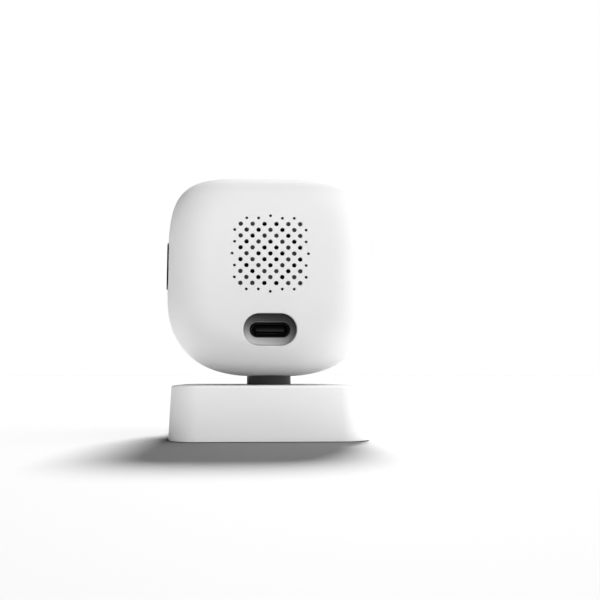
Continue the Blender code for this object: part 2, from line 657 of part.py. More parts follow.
def make_rear_housing(axis):
    """The deep shell with the grille, the inlet's recess, the key's hole and the neck's slot."""
    housing = head_solid("rear_housing", PARTING, REAR_FACE, 0, WHITE, axis)
    hollow = head_solid("housing_hollow", PARTING - 1 * mm, REAR_INSIDE, HEAD_WALL)
    bosses = bmesh.new()
    for x, y in FOOT_PLACES:
        add_rod(bosses, BRACKET_BOSS_RADIUS, ((x, y, 0), HEAD_BOTTOM), FOOT_BOTTOM - GAP, segments=8)
    for side in (1, -1):
        add_rod(bosses, BOARD_BOSS_RADIUS, ((side * BOARD_SCREW_X, 0, BOARD_SCREW_Z), MAIN_BOARD_REAR + GAP),
                REAR_FACE, "Y", 8)
    boolean(hollow, mesh_object("housing_bosses", bosses, None))
    inlet_block = block((RECESS_WIDTH + 2 * HEAD_WALL, 6 * mm, RECESS_HEIGHT + 2 * HEAD_WALL),
                        (0, INLET_INSIDE + 3 * mm, INLET_LEVEL))
    boolean(hollow, mesh_object("inlet_block", inlet_block, None))
    boolean(housing, hollow)

    recess = rounded_outline(RECESS_WIDTH, RECESS_HEIGHT, RECESS_HEIGHT / 2, (0, INLET_LEVEL), 7)
    boolean(housing, outline_solid("inlet_recess", recess, RECESS_FLOOR, REAR_FACE + 1 * mm, None, "Y"))
    opening = rounded_outline(INLET_HOLE_WIDTH, INLET_HOLE_HEIGHT, INLET_HOLE_HEIGHT / 2 - 0.01 * mm,
                              (0, INLET_LEVEL), 5)
    boolean(housing, outline_solid("inlet_hole", opening, INLET_INSIDE - 1 * mm, RECESS_FLOOR + 0.5 * mm,
                                   None, "Y"))

    holes = bmesh.new()
    for i, j, radius, is_open in grille_holes():
        depth = 2 * HEAD_WALL if is_open else BLIND_DEPTH
        place = (i * GRILLE_STEP, 0, GRILLE_LEVEL + j * GRILLE_STEP)
        sides = 6 if radius == LARGE_HOLE_RADIUS else 5
        add_rod(holes, radius, (place, REAR_FACE - depth), REAR_FACE + 1 * mm, "Y", sides)
    boolean(housing, mesh_object("grille_cutter", holes, None))

    key_hole = rounded_outline(KEY_WIDTH + 2 * KEY_GAP, KEY_HEIGHT + 2 * KEY_GAP, KEY_WIDTH / 2, KEY_CENTRE)
    boolean(housing, outline_solid("key_hole", key_hole, key_seat() - 1 * mm, KEY_OUTSIDE + 1 * mm,
                                   None, "X"))
    slot = rounded_outline(2 * SLOT_HALF_WIDTH, 2 * SLOT_HALF_LENGTH, SLOT_HALF_WIDTH - 0.01 * mm,
                           corner_steps=7)
    boolean(housing, outline_solid("neck_slot", slot, HEAD_BOTTOM - 1 * mm, HEAD_BOTTOM + 2 * HEAD_WALL,
                                   None))
    pilot = bmesh.new()
    for x, y in FOOT_PLACES:
        add_rod(pilot, SCREW_RADIUS + GAP, ((x, y, 0), FOOT_BOTTOM - 2 * mm), FOOT_BOTTOM + 1 * mm,
                segments=8)
    for side in (1, -1):
        add_rod(pilot, SCREW_RADIUS + GAP,
                ((side * BOARD_SCREW_X, 0, BOARD_SCREW_Z), MAIN_BOARD_REAR - 0.2 * mm),
                MAIN_BOARD_REAR + 6 * mm, "Y", 8)
    boolean(housing, mesh_object("housing_pilots", pilot, None))


POCKET_RADIUS = WINDOW_RADIUS + GAP
WINDOW_FRONT = FRONT_FACE + WINDOW_SINK
WINDOW_REAR = WINDOW_FRONT + WINDOW_THICKNESS
POCKET_FLOOR = WINDOW_REAR + GAP
LEDGE_RADIUS = POCKET_RADIUS - WINDOW_LEDGE
BEZEL_INSIDE = FRONT_FACE + BEZEL_WALL


def make_front_bezel(axis):
    """The shallow front shell with its lip and the stepped hole for the window."""
    bezel = head_solid("front_bezel", FRONT_FACE, PARTING - GAP, 0, WHITE, axis)
    lip_inset = HEAD_WALL + GAP
    lip = head_solid("bezel_lip", PARTING - 1.5 * mm, PARTING + LIP_LENGTH, lip_inset)
    boolean(bezel, lip, "UNION")
    hollow = head_solid("bezel_hollow", BEZEL_INSIDE, PARTING + LIP_LENGTH + 1 * mm,
                        lip_inset + LIP_THICKNESS)
    boolean(bezel, hollow)
    centre = (0, 0, LENS_LEVEL)
    pocket = rod(POCKET_RADIUS, centre, FRONT_FACE - 1 * mm, POCKET_FLOOR, "Y", 40)
    boolean(bezel, mesh_object("window_pocket", pocket, None))
    hole = rod(LEDGE_RADIUS, centre, FRONT_FACE - 1 * mm, BEZEL_INSIDE + 1 * mm, "Y", 40)
    boolean(bezel, mesh_object("window_hole", hole, None))


# Camera -----------------------------------------------------------------------------------------

LED_BOARD_FRONT = BEZEL_INSIDE + GAP
LED_BOARD_REAR = LED_BOARD_FRONT + 1.0 * mm
BARREL_FRONT = WINDOW_FRONT + 0.4 * mm
BARREL_STEP = LED_BOARD_REAR + 3.0 * mm
BARREL_REAR = BARREL_STEP + 4.4 * mm
HOLDER_FRONT = BARREL_STEP + GAP
HOLDER_REAR = BARREL_REAR + 2.0 * mm
CAMERA_BOARD_FRONT = HOLDER_REAR + GAP
CAMERA_BOARD_REAR = CAMERA_BOARD_FRONT + BOARD_THICKNESS


def optic(name, profile, look, axis, segments=24):
    """A piece turned about the lens axis; its profile runs down from the rear to the front."""
    return turned(name, profile, look, (0, 0, LENS_LEVEL), "Y", segments, axis)


def make_camera(axis):
    """Window, lens, sensor, boards and lamps."""
    hole = BARREL_RADIUS + 0.4 * mm
    optic("front_window", ring_profile(hole, WINDOW_RADIUS, WINDOW_FRONT, WINDOW_REAR), BLACK, axis, 40)

    seat = FRONT_GLASS_RADIUS + GAP
    rear_seat = REAR_GLASS_RADIUS + GAP
    front_seat_depth = BARREL_FRONT + 2.4 * mm
    rear_seat_depth = BARREL_REAR - 2.0 * mm
    stop_radius = 1.9 * mm
    optic("lens_barrel",
          [(BARREL_SEAT_RADIUS, BARREL_REAR), (BARREL_SEAT_RADIUS, BARREL_STEP),
           (BARREL_RADIUS, BARREL_STEP), (BARREL_RADIUS, BARREL_FRONT), (seat, BARREL_FRONT),
           (seat, front_seat_depth), (stop_radius, front_seat_depth), (stop_radius, rear_seat_depth),
           (rear_seat, rear_seat_depth), (rear_seat, BARREL_REAR)],
          BLACK, axis)
    optic("lens_front_glass", lens_profile(FRONT_GLASS_RADIUS, BARREL_FRONT + GAP, front_seat_depth - GAP),
          GLASS, axis)
    optic("lens_rear_glass", lens_profile(REAR_GLASS_RADIUS, rear_seat_depth + GAP, BARREL_REAR - GAP),
          GLASS, axis, 24)

    holder = mesh_object(
        "lens_holder",
        block((HOLDER_SIZE, HOLDER_REAR - HOLDER_FRONT, HOLDER_SIZE),
              (0, (HOLDER_FRONT + HOLDER_REAR) / 2, LENS_LEVEL)),
        DARK, axis)
    bore = rod(BARREL_SEAT_RADIUS + GAP, (0, 0, LENS_LEVEL), HOLDER_FRONT - 1 * mm, HOLDER_REAR - 1 * mm,
               "Y", 24)
    boolean(holder, mesh_object("holder_bore", bore, None))
    sensor_size = (8.0 * mm, 1.0 * mm, 6.6 * mm)
    pocket = (sensor_size[0] + 2.4 * mm, 2 * (HOLDER_REAR - BARREL_REAR), sensor_size[2] + 2.4 * mm)
    boolean(holder, mesh_object("sensor_pocket", block(pocket, (0, HOLDER_REAR, LENS_LEVEL)), None))
    sensor_middle = CAMERA_BOARD_FRONT - GAP - sensor_size[1] / 2
    mesh_object("image_sensor", block(sensor_size, (0, sensor_middle, LENS_LEVEL)), CHIP, axis)
    board_outline = rounded_outline(CAMERA_BOARD_SIZE, CAMERA_BOARD_SIZE, 1.5 * mm, (0, LENS_LEVEL), 3)
    outline_solid("camera_board", board_outline, CAMERA_BOARD_FRONT, CAMERA_BOARD_REAR, BOARD, "Y", axis)

    led_board_radius = POCKET_RADIUS - 0.2 * mm
    optic("led_board", ring_profile(hole, led_board_radius, LED_BOARD_FRONT, LED_BOARD_REAR), BOARD, axis)
    front, rear = WINDOW_REAR + GAP, LED_BOARD_FRONT - GAP
    optic("light_baffle", ring_profile(BARREL_RADIUS + GAP, BARREL_RADIUS + 1.8 * mm, front, rear), FOAM,
          axis, 24)
    for k, (x, z) in enumerate(circle_places(LED_CIRCLE, 4, 45), 1):
        lamp = rod(LED_RADIUS, (x, 0, LENS_LEVEL + z), front, rear, "Y", 12)
        mesh_object(f"infrared_led_{k}", lamp, GLASS, axis)
    small_parts = {
        "status_led": ((0, -LED_CIRCLE), (1.6 * mm, 0.8 * mm), GLASS),
        "light_sensor": ((0, LED_CIRCLE), (2.0 * mm, 1.6 * mm), CHIP),
        "microphone": ((LED_CIRCLE, 0), (2.6 * mm, 3.5 * mm), ALLOY),
    }
    for name, ((x, z), (width, height), look) in small_parts.items():
        middle = (x, (front + rear) / 2, LENS_LEVEL + z)
        mesh_object(name, block((width, rear - front, height), middle), look, axis)


def lens_profile(radius, front, rear):
    """Half section of a lens with a domed front and a flatter rear, from the rear to the front."""
    dome = 0.9 * (rear - front) / 2
    edge_front = front + dome
    points = [(0, rear), (radius, rear)]
    for step in range(5):
        angle = math.radians(90) * step / 5
        points.append((radius * math.cos(angle), edge_front - dome * math.sin(angle)))
    return points + [(0, front)]


# Boards, speaker and inlet ----------------------------------------------------------------------


def make_boards(axis):
    """Main board with its processor, heat spreader, ribbon and screws."""
    height = MAIN_BOARD_HIGH - MAIN_BOARD_LOW
    middle = (MAIN_BOARD_HIGH + MAIN_BOARD_LOW) / 2
    outline = rounded_outline(MAIN_BOARD_WIDTH, height, 1.5 * mm, (0, middle), 3)
    board = outline_solid("main_board", outline, MAIN_BOARD_FRONT, MAIN_BOARD_REAR, BOARD, "Y", axis)
    holes = bmesh.new()
    for side in (1, -1):
        add_rod(holes, SCREW_RADIUS + GAP,
                ((side * BOARD_SCREW_X, 0, BOARD_SCREW_Z), MAIN_BOARD_FRONT - 1 * mm),
                MAIN_BOARD_REAR + 1 * mm, "Y", 8)
    boolean(board, mesh_object("board_holes", holes, None))
    for k, side in enumerate((1, -1), 1):
        screw(f"board_screw_{k}", (side * BOARD_SCREW_X, 0, BOARD_SCREW_Z), MAIN_BOARD_FRONT - GAP,
              MAIN_BOARD_REAR + 5 * mm, STEEL, "Y", axis)

    chip_size = 12.0 * mm
    chip_thickness = 1.4 * mm
    chip_level = MAIN_BOARD_LOW + chip_size / 2 + 1.5 * mm
    chip_rear = MAIN_BOARD_FRONT - GAP
    chip_front = chip_rear - chip_thickness
    mesh_object("processor",
                block((chip_size, chip_thickness, chip_size), (0, (chip_front + chip_rear) / 2, chip_level)),
                CHIP, axis)
    spreader_rear = chip_front - GAP
    spreader = rounded_outline(26 * mm, chip_size + 2 * mm, 2 * mm, (0, chip_level), 3)
    outline_solid("heat_spreader", spreader, spreader_rear - 1.2 * mm, spreader_rear, ALLOY, "Y", axis)

    ribbon_half = 3.0 * mm
    ribbon_thickness = 0.3 * mm
    ribbon_rear = MAIN_BOARD_FRONT - GAP - ribbon_thickness / 2
    ribbon_front = CAMERA_BOARD_REAR + GAP + ribbon_thickness / 2
    ribbon_low = MAIN_BOARD_HIGH - 5.5 * mm
    bm = bmesh.new()
    rows = []
    for step in range(17):
        angle = math.pi * step / 16
        y = (ribbon_front + ribbon_rear) / 2 - (ribbon_rear - ribbon_front) / 2 * math.cos(angle)
        z = ribbon_low + 5.0 * mm * math.sin(angle)
        rows.append([bm.verts.new((x, y, z)) for x in (-ribbon_half, ribbon_half)])
    for low, high in zip(rows, rows[1:]):
        bm.faces.new((low[0], low[1], high[1], high[0]))
    ribbon = mesh_object("sensor_ribbon", bm, FOAM, axis)
    thicken = ribbon.modifiers.new("thickness", "SOLIDIFY")
    thicken.thickness = ribbon_thickness
    thicken.offset = 0


def sounder(name, profile, look, axis, segments=24):
    """A piece turned about the speaker's axis; its profile runs down from the rear to the front."""
    return turned(name, profile, look, (0, 0, GRILLE_LEVEL), "Y", segments, axis)


def make_speaker(axis):
    """Cloth, gasket, frame, cone and magnet behind the grille."""
    cloth_rear = REAR_INSIDE - GAP - CLOTH_THICKNESS
    cloth = rod(CLOTH_RADIUS, (0, 0, GRILLE_LEVEL), cloth_rear, REAR_INSIDE - GAP, "Y", 32)
    mesh_object("grille_cloth", cloth, FOAM, axis)
    gasket_front = REAR_INSIDE - GAP - GASKET_THICKNESS
    gasket_bore = CLOTH_RADIUS + GAP
    sounder("speaker_gasket",
            ring_profile(gasket_bore, gasket_bore + GASKET_WIDTH, gasket_front, REAR_INSIDE - GAP),
            FOAM, axis)
    mouth = gasket_front - GAP
    back = mouth - SPEAKER_DEPTH
    sheet = 0.8 * mm
    back_hole = MAGNET_RADIUS - 1.2 * mm
    opening = min(SPEAKER_RADIUS - sheet, gasket_bore + GASKET_WIDTH / 2)
    sounder("speaker_frame",
          [(SPEAKER_RADIUS, mouth), (SPEAKER_RADIUS, back), (back_hole, back), (back_hole, back + sheet),
           (SPEAKER_RADIUS - sheet, back + sheet), (opening, mouth)],
          DARK, axis)
    cone_radius = opening - GAP
    cone_sheet = 0.5 * mm
    cone_low = back + sheet + GAP
    sounder("speaker_cone",
          [(cone_radius, mouth - GAP), (cone_radius, mouth - GAP - cone_sheet),
           (cone_radius * 0.8, mouth - 1.0 * mm - cone_sheet), (cone_radius * 0.35, cone_low),
           (0, cone_low), (0, cone_low + cone_sheet),
           (cone_radius * 0.33, cone_low + cone_sheet), (cone_radius * 0.78, mouth - 1.0 * mm)],
          CHIP, axis)
    magnet_rear = back - GAP
    magnet = rod(MAGNET_RADIUS, (0, 0, GRILLE_LEVEL), magnet_rear - MAGNET_DEPTH, magnet_rear, "Y", 28)
    mesh_object("speaker_magnet", magnet, STEEL, axis)


def make_inlet(axis):
    """The inlet's metal shell and tongue on its small board."""
    mouth = INLET_INSIDE - GAP
    back = mouth - SHELL_LENGTH
    outer = rounded_outline(SHELL_WIDTH, SHELL_HEIGHT, SHELL_HEIGHT / 2 - 0.01 * mm, (0, INLET_LEVEL), 5)
    shell = outline_solid("usb_shell", outer, back, mouth, STEEL, "Y", axis)
    inner_height = SHELL_HEIGHT - 2 * SHELL_WALL
    inner = rounded_outline(SHELL_WIDTH - 2 * SHELL_WALL, inner_height, inner_height / 2 - 0.01 * mm,
                            (0, INLET_LEVEL), 5)
    boolean(shell, outline_solid("usb_hollow", inner, back + SHELL_WALL, mouth + 1 * mm, None, "Y"))
    tongue_back = back + SHELL_WALL + GAP
    tongue_front = mouth - 0.8 * mm
    tongue = mesh_object(
        "usb_tongue",
        block((TONGUE_WIDTH, tongue_front - tongue_back, TONGUE_THICKNESS),
              (0, (tongue_back + tongue_front) / 2, INLET_LEVEL)),
        CHIP, axis)
    root = block((TONGUE_WIDTH, 1.4 * mm, 1.9 * mm), (0, tongue_back + 0.7 * mm, INLET_LEVEL))
    boolean(tongue, mesh_object("tongue_root", root, None), "UNION")
    board_top = INLET_LEVEL - SHELL_HEIGHT / 2 - GAP
    board_size = (18 * mm, 11.5 * mm, BOARD_THICKNESS)
    board = block(board_size, (0, mouth - board_size[1] / 2, board_top - BOARD_THICKNESS / 2))
    mesh_object("power_board", board, BOARD, axis)


# Push key ---------------------------------------------------------------------------------------


def key_seat():
    """How far out the key's flange can lie behind the curved wall."""
    return side_reach(KEY_DEPTH + KEY_WIDTH / 2 + KEY_FLANGE,
                      KEY_CENTRE_LEVEL + KEY_HEIGHT / 2 + KEY_FLANGE, HEAD_WALL)


def make_key(head_axis, key_axis):
    """The push key with its flange, the switch behind it and the board that carries the switch."""
    flange_out = key_seat() - GAP
    flange_in = flange_out - KEY_FLANGE_THICKNESS
    cap = rounded_outline(KEY_WIDTH, KEY_HEIGHT, KEY_WIDTH * 0.42, KEY_CENTRE)
    key = outline_solid("side_button", cap, flange_out - 0.2 * mm, KEY_OUTSIDE + 1 * mm, BLACK, "X", key_axis)
    boolean(key, head_solid("key_crown", PARTING, REAR_FACE, -KEY_PROUD), "INTERSECT")
    flange = rounded_outline(KEY_WIDTH + 2 * KEY_FLANGE, KEY_HEIGHT + 2 * KEY_FLANGE, KEY_WIDTH / 2,
                             KEY_CENTRE)
    boolean(key, outline_solid("key_flange", flange, flange_in, flange_out, None, "X"), "UNION")

    plunger_radius = 0.9 * mm
    plunger_out = flange_in - GAP
    switch_face = plunger_out - 2 * GAP - KEY_TRAVEL
    switch_thickness = 1.6 * mm
    well = switch_face - 1.0 * mm
    middle = (0, *KEY_CENTRE)
    plunger_in = well + KEY_TRAVEL + GAP
    plunger = rod(plunger_radius, middle, plunger_in, plunger_out, "X", 12)
    mesh_object("switch_plunger", plunger, CHIP, key_axis)
    switch = mesh_object(
        "tact_switch",
        block((switch_thickness, 4 * mm, 4 * mm), (switch_face - switch_thickness / 2, *KEY_CENTRE)),
        ALLOY, head_axis)
    hole = rod(plunger_radius + GAP, middle, well, switch_face + 1 * mm, "X", 14)
    boolean(switch, mesh_object("switch_well", hole, None))
    board_out = switch_face - switch_thickness - GAP
    board = rounded_outline(8 * mm, KEY_HEIGHT + 1 * mm, 1 * mm, KEY_CENTRE, 3)
    outline_solid("button_board", board, board_out - 1 * mm, board_out, BOARD, "X", head_axis)


# The whole object -------------------------------------------------------------------------------


def main():
    """Build every piece on its joint's axis."""
    pan_axis = new_axis("pan_axis", (0, 0, BASE_TOP))
    tilt_axis = new_axis("tilt_axis", (0, 0, TILT_LEVEL))
    key_axis = new_axis("key_axis", (KEY_OUTSIDE, *KEY_CENTRE))
    make_base()
    make_retainer()
    make_neck(pan_axis)
    make_tilt_bracket(tilt_axis)
    make_rear_housing(tilt_axis)
    make_front_bezel(tilt_axis)
    make_camera(tilt_axis)
    make_boards(tilt_axis)
    make_speaker(tilt_axis)
    make_inlet(tilt_axis)
    make_key(tilt_axis, key_axis)


main()
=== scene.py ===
"""Looks of a small indoor security camera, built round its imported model."""

import json
import math

import bmesh
import bpy
from mathutils import Matrix, Vector


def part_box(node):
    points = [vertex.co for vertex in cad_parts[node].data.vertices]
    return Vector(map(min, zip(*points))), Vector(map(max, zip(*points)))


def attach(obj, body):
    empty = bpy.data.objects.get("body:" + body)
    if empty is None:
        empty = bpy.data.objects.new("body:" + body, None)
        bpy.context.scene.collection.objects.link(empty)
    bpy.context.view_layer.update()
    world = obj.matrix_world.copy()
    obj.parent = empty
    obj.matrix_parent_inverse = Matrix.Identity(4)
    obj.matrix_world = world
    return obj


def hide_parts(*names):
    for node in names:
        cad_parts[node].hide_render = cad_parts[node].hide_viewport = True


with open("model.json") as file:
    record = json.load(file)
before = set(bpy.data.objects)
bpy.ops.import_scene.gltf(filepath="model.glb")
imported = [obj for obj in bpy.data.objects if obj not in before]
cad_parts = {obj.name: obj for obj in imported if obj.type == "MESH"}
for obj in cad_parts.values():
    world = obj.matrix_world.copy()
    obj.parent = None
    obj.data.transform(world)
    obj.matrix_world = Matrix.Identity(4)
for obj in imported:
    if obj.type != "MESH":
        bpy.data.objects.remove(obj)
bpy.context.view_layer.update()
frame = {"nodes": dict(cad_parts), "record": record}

mm = 0.001

# Sizes of the soft head form -------------------------------------------------------------------

HOUSING_LOW, HOUSING_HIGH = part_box("rear_housing")
BEZEL_LOW, BEZEL_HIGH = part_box("front_bezel")
HEAD_HALF = HOUSING_HIGH.x
REAR_FACE = HOUSING_HIGH.y
FRONT_FACE = BEZEL_LOW.y
PARTING = HOUSING_LOW.y
HEAD_BOTTOM = HOUSING_LOW.z
HEAD_TOP = HOUSING_HIGH.z
HEAD_LOWER = 21.2 * mm
HEAD_LEVEL = HEAD_BOTTOM + HEAD_LOWER
HEAD_UPPER = HEAD_TOP - HEAD_LEVEL
HEAD_WALL = 1.8 * mm
UPPER_SQUARENESS = 4.75
LOWER_SQUARENESS = 2.81
END_SQUARENESS = 2.2
REAR_ROLLS = (10.0 * mm, 9.0 * mm, 9.5 * mm)
FRONT_ROLLS = (7.0 * mm, 5.0 * mm, 9.5 * mm)
SIDE_RUN = 12.0 * mm
LOW_RUN = 22.5 * mm
SEAM = 0.12 * mm
SEAM_EDGE = 0.15 * mm
OUTLINE_STEPS = 240
ROLL_STEPS = 26
INSIDE_STEPS = 12
CAP_STRIP = 0.8 * mm

WELD = 0.002 * mm
ON_AXIS = 1e-9
PILL_EASE = 0.001 * mm
CORNER_STEPS = 10
FLARE_ARC = 82
FLARE_PAST = 1.05
CLEAR = 1 * mm

# Mesh helpers -----------------------------------------------------------------------------------


def middle_of(node):
    """Centre of a node's box."""
    low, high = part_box(node)
    return (low + high) / 2


def finished(name, bm, body, slot, replaces=(), finish=None, smooth_below=35):
    """Turn a bmesh into a piece that rides on a body; its finish is its slot's unless another is named."""
    bmesh.ops.remove_doubles(bm, verts=bm.verts, dist=WELD)
    bmesh.ops.recalc_face_normals(bm, faces=bm.faces)
    if bm.calc_volume(signed=True) < 0:
        bmesh.ops.reverse_faces(bm, faces=bm.faces)
    for layer in list(bm.verts.layers.float):
        bm.verts.layers.float.remove(layer)
    mesh = bpy.data.meshes.new(name)
    bm.to_mesh(mesh)
    bm.free()
    mesh.materials.append(FINISHES[finish or slot])
    mesh.shade_smooth()
    mesh.set_sharp_from_angle(angle=math.radians(smooth_below))
    piece = bpy.data.objects.new(name, mesh)
    bpy.context.scene.collection.objects.link(piece)
    weighted = piece.modifiers.new("even shading", "WEIGHTED_NORMAL")
    weighted.keep_sharp = True
    weighted.mode = "FACE_AREA"
    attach(piece, body)
    if replaces:
        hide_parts(*replaces)
    return piece


def ring_chain(places, count):
    """Extrude a ring of vertices through a list of places, each a function of the vertex number."""
    bm = bmesh.new()
    number = bm.verts.layers.float.new("number")
    ring = bmesh.ops.create_circle(bm, segments=count, radius=1.0)["verts"]
    for k, vert in enumerate(ring):
        vert[number] = k
    edges = list(bm.edges)
    first = edges
    for step, place in enumerate(places):
        if step:
            made = bmesh.ops.extrude_edge_only(bm, edges=edges)["geom"]
            ring = [item for item in made if isinstance(item, bmesh.types.BMVert)]
            edges = [item for item in made if isinstance(item, bmesh.types.BMEdge) and item.is_boundary]
        for vert in ring:
            vert.co = place(round(vert[number]))
    return bm, first, edges


def close_ring(bm, edges, rim=0.0):
    """Fill a flat ring with one face, with an even strip just inside its edge if a rim is given."""
    face = bmesh.ops.contextual_create(bm, geom=edges)["faces"][0]
    if rim:
        bmesh.ops.inset_region(bm, faces=[face], thickness=rim, use_even_offset=True)
    return face


def split_cap(bm, cap, across, up):
    """Cut a flat cap, which faces along Y, into cells by upright and level lines."""
    for axis, levels in (("X", across), ("Z", up)):
        normal = (1, 0, 0) if axis == "X" else (0, 0, 1)
        for level in levels:
            depth = cap.y
            faces = [face for face in bm.faces
                     if all(abs(vert.co.y - depth) < 0.001 * mm for vert in face.verts)]
            edges = {edge for face in faces for edge in face.edges}
            verts = {vert for face in faces for vert in face.verts}
            point = Vector(normal) * level
            bmesh.ops.bisect_plane(bm, geom=faces + list(edges) + list(verts), plane_co=point,
                                   plane_no=normal, dist=0.0001 * mm)


def soften(points, radius, steps=4, closed=True):
    """Round the corners of a profile; points on the turning axis stay as they are."""
    made = []
    count = len(points)
    for k, point in enumerate(points):
        here = Vector(point)
        at_end = not closed and k in (0, count - 1)
        if at_end or point[0] < ON_AXIS:
            made.append(here)
            continue
        to_last = Vector(points[k - 1]) - here
        to_next = Vector(points[(k + 1) % count]) - here
        reach = min(radius, 0.45 * to_last.length, 0.45 * to_next.length)
        start = here + to_last.normalized() * reach
        end = here + to_next.normalized() * reach
        for step in range(steps + 1):
            share = step / steps
            made.append(start * (1 - share) ** 2 + here * 2 * share * (1 - share) + end * share ** 2)
    return made


TURNS = {
    "X": Matrix.Rotation(math.radians(90), 4, "Y"),
    "Y": Matrix.Rotation(math.radians(-90), 4, "X"),
    "Z": Matrix.Identity(4),
}


def lathe(profile, centre, along, steps=96):
    """Spin a profile of (radius, distance along the axis) points into a closed bmesh."""
    bm = bmesh.new()
    verts = [bm.verts.new((radius, 0, reach)) for radius, reach in profile]
    edges = [bm.edges.new(pair) for pair in zip(verts, verts[1:])]
    if profile[0][0] > ON_AXIS or profile[-1][0] > ON_AXIS:
        edges.append(bm.edges.new((verts[-1], verts[0])))
    bmesh.ops.spin(bm, geom=verts + edges, cent=(0, 0, 0), axis=(0, 0, 1), dvec=(0, 0, 0),
                   angle=math.tau, steps=steps, use_merge=True, use_duplicate=False)
    bmesh.ops.remove_doubles(bm, verts=bm.verts, dist=0.001 * mm)
    bmesh.ops.transform(bm, matrix=Matrix.Translation(centre) @ TURNS[along], verts=bm.verts)
    return bm


def block(size, centre, edge=0.0, segments=3):
    """A box with rounded edges as a bmesh."""
    bm = bmesh.new()
    bmesh.ops.create_cube(bm, size=1.0, matrix=Matrix.Translation(centre) @ Matrix.Diagonal((*size, 1)))
    if edge:
        bmesh.ops.bevel(bm, geom=bm.edges[:], offset=edge, segments=segments, profile=0.5,
                        affect="EDGES", material=-1)
    return bm


def merge(*parts):
    """Several bmeshes as one."""
    whole = bmesh.new()
    for part in parts:
        scratch = bpy.data.meshes.new("scratch")
        part.to_mesh(scratch)
        part.free()
        whole.from_mesh(scratch)
        bpy.data.meshes.remove(scratch)
    return whole


def cut(bm, cutter, operation="DIFFERENCE"):
    """Cut one closed bmesh with another, or join them, and return the result as a bmesh."""
    made = []
    for part in (bm, cutter):
        bmesh.ops.remove_doubles(part, verts=part.verts, dist=0.0005 * mm)
        bmesh.ops.recalc_face_normals(part, faces=part.faces)
        mesh = bpy.data.meshes.new("scratch")
        part.to_mesh(mesh)
        part.free()
        item = bpy.data.objects.new("scratch", mesh)
        bpy.context.scene.collection.objects.link(item)
        made.append(item)
    modifier = made[0].modifiers.new("cut", "BOOLEAN")
    modifier.operation = operation
    modifier.solver = "EXACT"
    modifier.object = made[1]
    bpy.context.view_layer.update()
    result = made[0].evaluated_get(bpy.context.evaluated_depsgraph_get()).to_mesh()
    whole = bmesh.new()
    whole.from_mesh(result)
    for item in made:
        mesh = item.data
        bpy.data.objects.remove(item, do_unlink=True)
        bpy.data.meshes.remove(mesh)
    return whole


def outline(width, height, radius, corner_steps=CORNER_STEPS):
    """Points of a rectangle with round corners, about its middle; the count never changes."""
    points = []
    for quarter, (sx, sy) in enumerate(((1, 1), (-1, 1), (-1, -1), (1, -1))):
        centre = Vector((sx * (width / 2 - radius), sy * (height / 2 - radius)))
        for step in range(corner_steps + 1):
            angle = math.radians(90) * (quarter + step / corner_steps)
            points.append(centre + radius * Vector((math.cos(angle), math.sin(angle))))
    return points


def pill(width, height, corner_steps=CORNER_STEPS):
    """Points of a slot whose half-round ends stop just short of meeting their neighbours."""
    return outline(width, height, min(width, height) / 2 - PILL_EASE, corner_steps)


def outline_count(corner_steps=CORNER_STEPS):
    """How many points an outline has."""
    return 4 * (corner_steps + 1)


def fillet_steps(radius, steps, arc=90):
    """Offsets outward and depths inward of a quarter round, from the wall up to the face."""
    angles = [math.radians(arc) * step / steps for step in range(steps + 1)]
    return [(radius * (1 - math.cos(angle)), radius * (1 - math.sin(angle))) for angle in angles]


def grey(level):
    """A neutral grey."""
    return (level, level, level)


# Finishes ---------------------------------------------------------------------------------------


class Tree:
    """Short calls for laying out a node tree."""

    def __init__(self, tree):
        self.tree = tree

    def add(self, kind, inputs=None, **settings):
        """Add a node, set its properties, and set or link its inputs."""
        node = self.tree.nodes.new("ShaderNode" + kind)
        for key, value in settings.items():
            setattr(node, key, value)
        for key, value in (inputs or {}).items():
            if isinstance(value, bpy.types.NodeSocket):
                self.tree.links.new(value, node.inputs[key])
            else:
                node.inputs[key].default_value = value
        return node


def new_group(name, inputs, outputs):
    """A node group with named number sockets, and its input and output nodes."""
    tree = bpy.data.node_groups.new(name, "ShaderNodeTree")
    for label, value in inputs.items():
        kind = "NodeSocketVector" if label == "Vector" else "NodeSocketFloat"
        socket = tree.interface.new_socket(label, in_out="INPUT", socket_type=kind)
        if label != "Vector":
            socket.default_value = value
    for label in outputs:
        tree.interface.new_socket(label, in_out="OUTPUT", socket_type="NodeSocketFloat")
    return Tree(tree), tree.nodes.new("NodeGroupInput").outputs, tree.nodes.new("NodeGroupOutput").inputs


def make_moulded_grain():
    """Fine spark-eroded texture of a moulding tool, with a slow drift in its gloss."""
    made, given, out = new_group("moulded_grain", {"Vector": None, "Grain": 2600.0, "Depth": 1.0},
                                 ("Height", "Drift"))
    fine = made.add("TexNoise", {"Vector": given["Vector"], "Scale": given["Grain"], "Detail": 3.0,
                                 "Roughness": 0.6})
    pits = made.add("TexVoronoi", {"Vector": given["Vector"], "Scale": given["Grain"]},
                    feature="SMOOTH_F1")
    both = made.add("Math", {0: fine.outputs["Fac"], 1: pits.outputs["Distance"]}, operation="ADD")
    height = made.add("Math", {0: both.outputs[0], 1: given["Depth"]}, operation="MULTIPLY")
    slow = made.add("TexNoise", {"Vector": given["Vector"], "Scale": 55.0, "Detail": 4.0,
                                 "Roughness": 0.55})
    made.tree.links.new(height.outputs[0], out["Height"])
    made.tree.links.new(slow.outputs["Fac"], out["Drift"])
    return made.tree


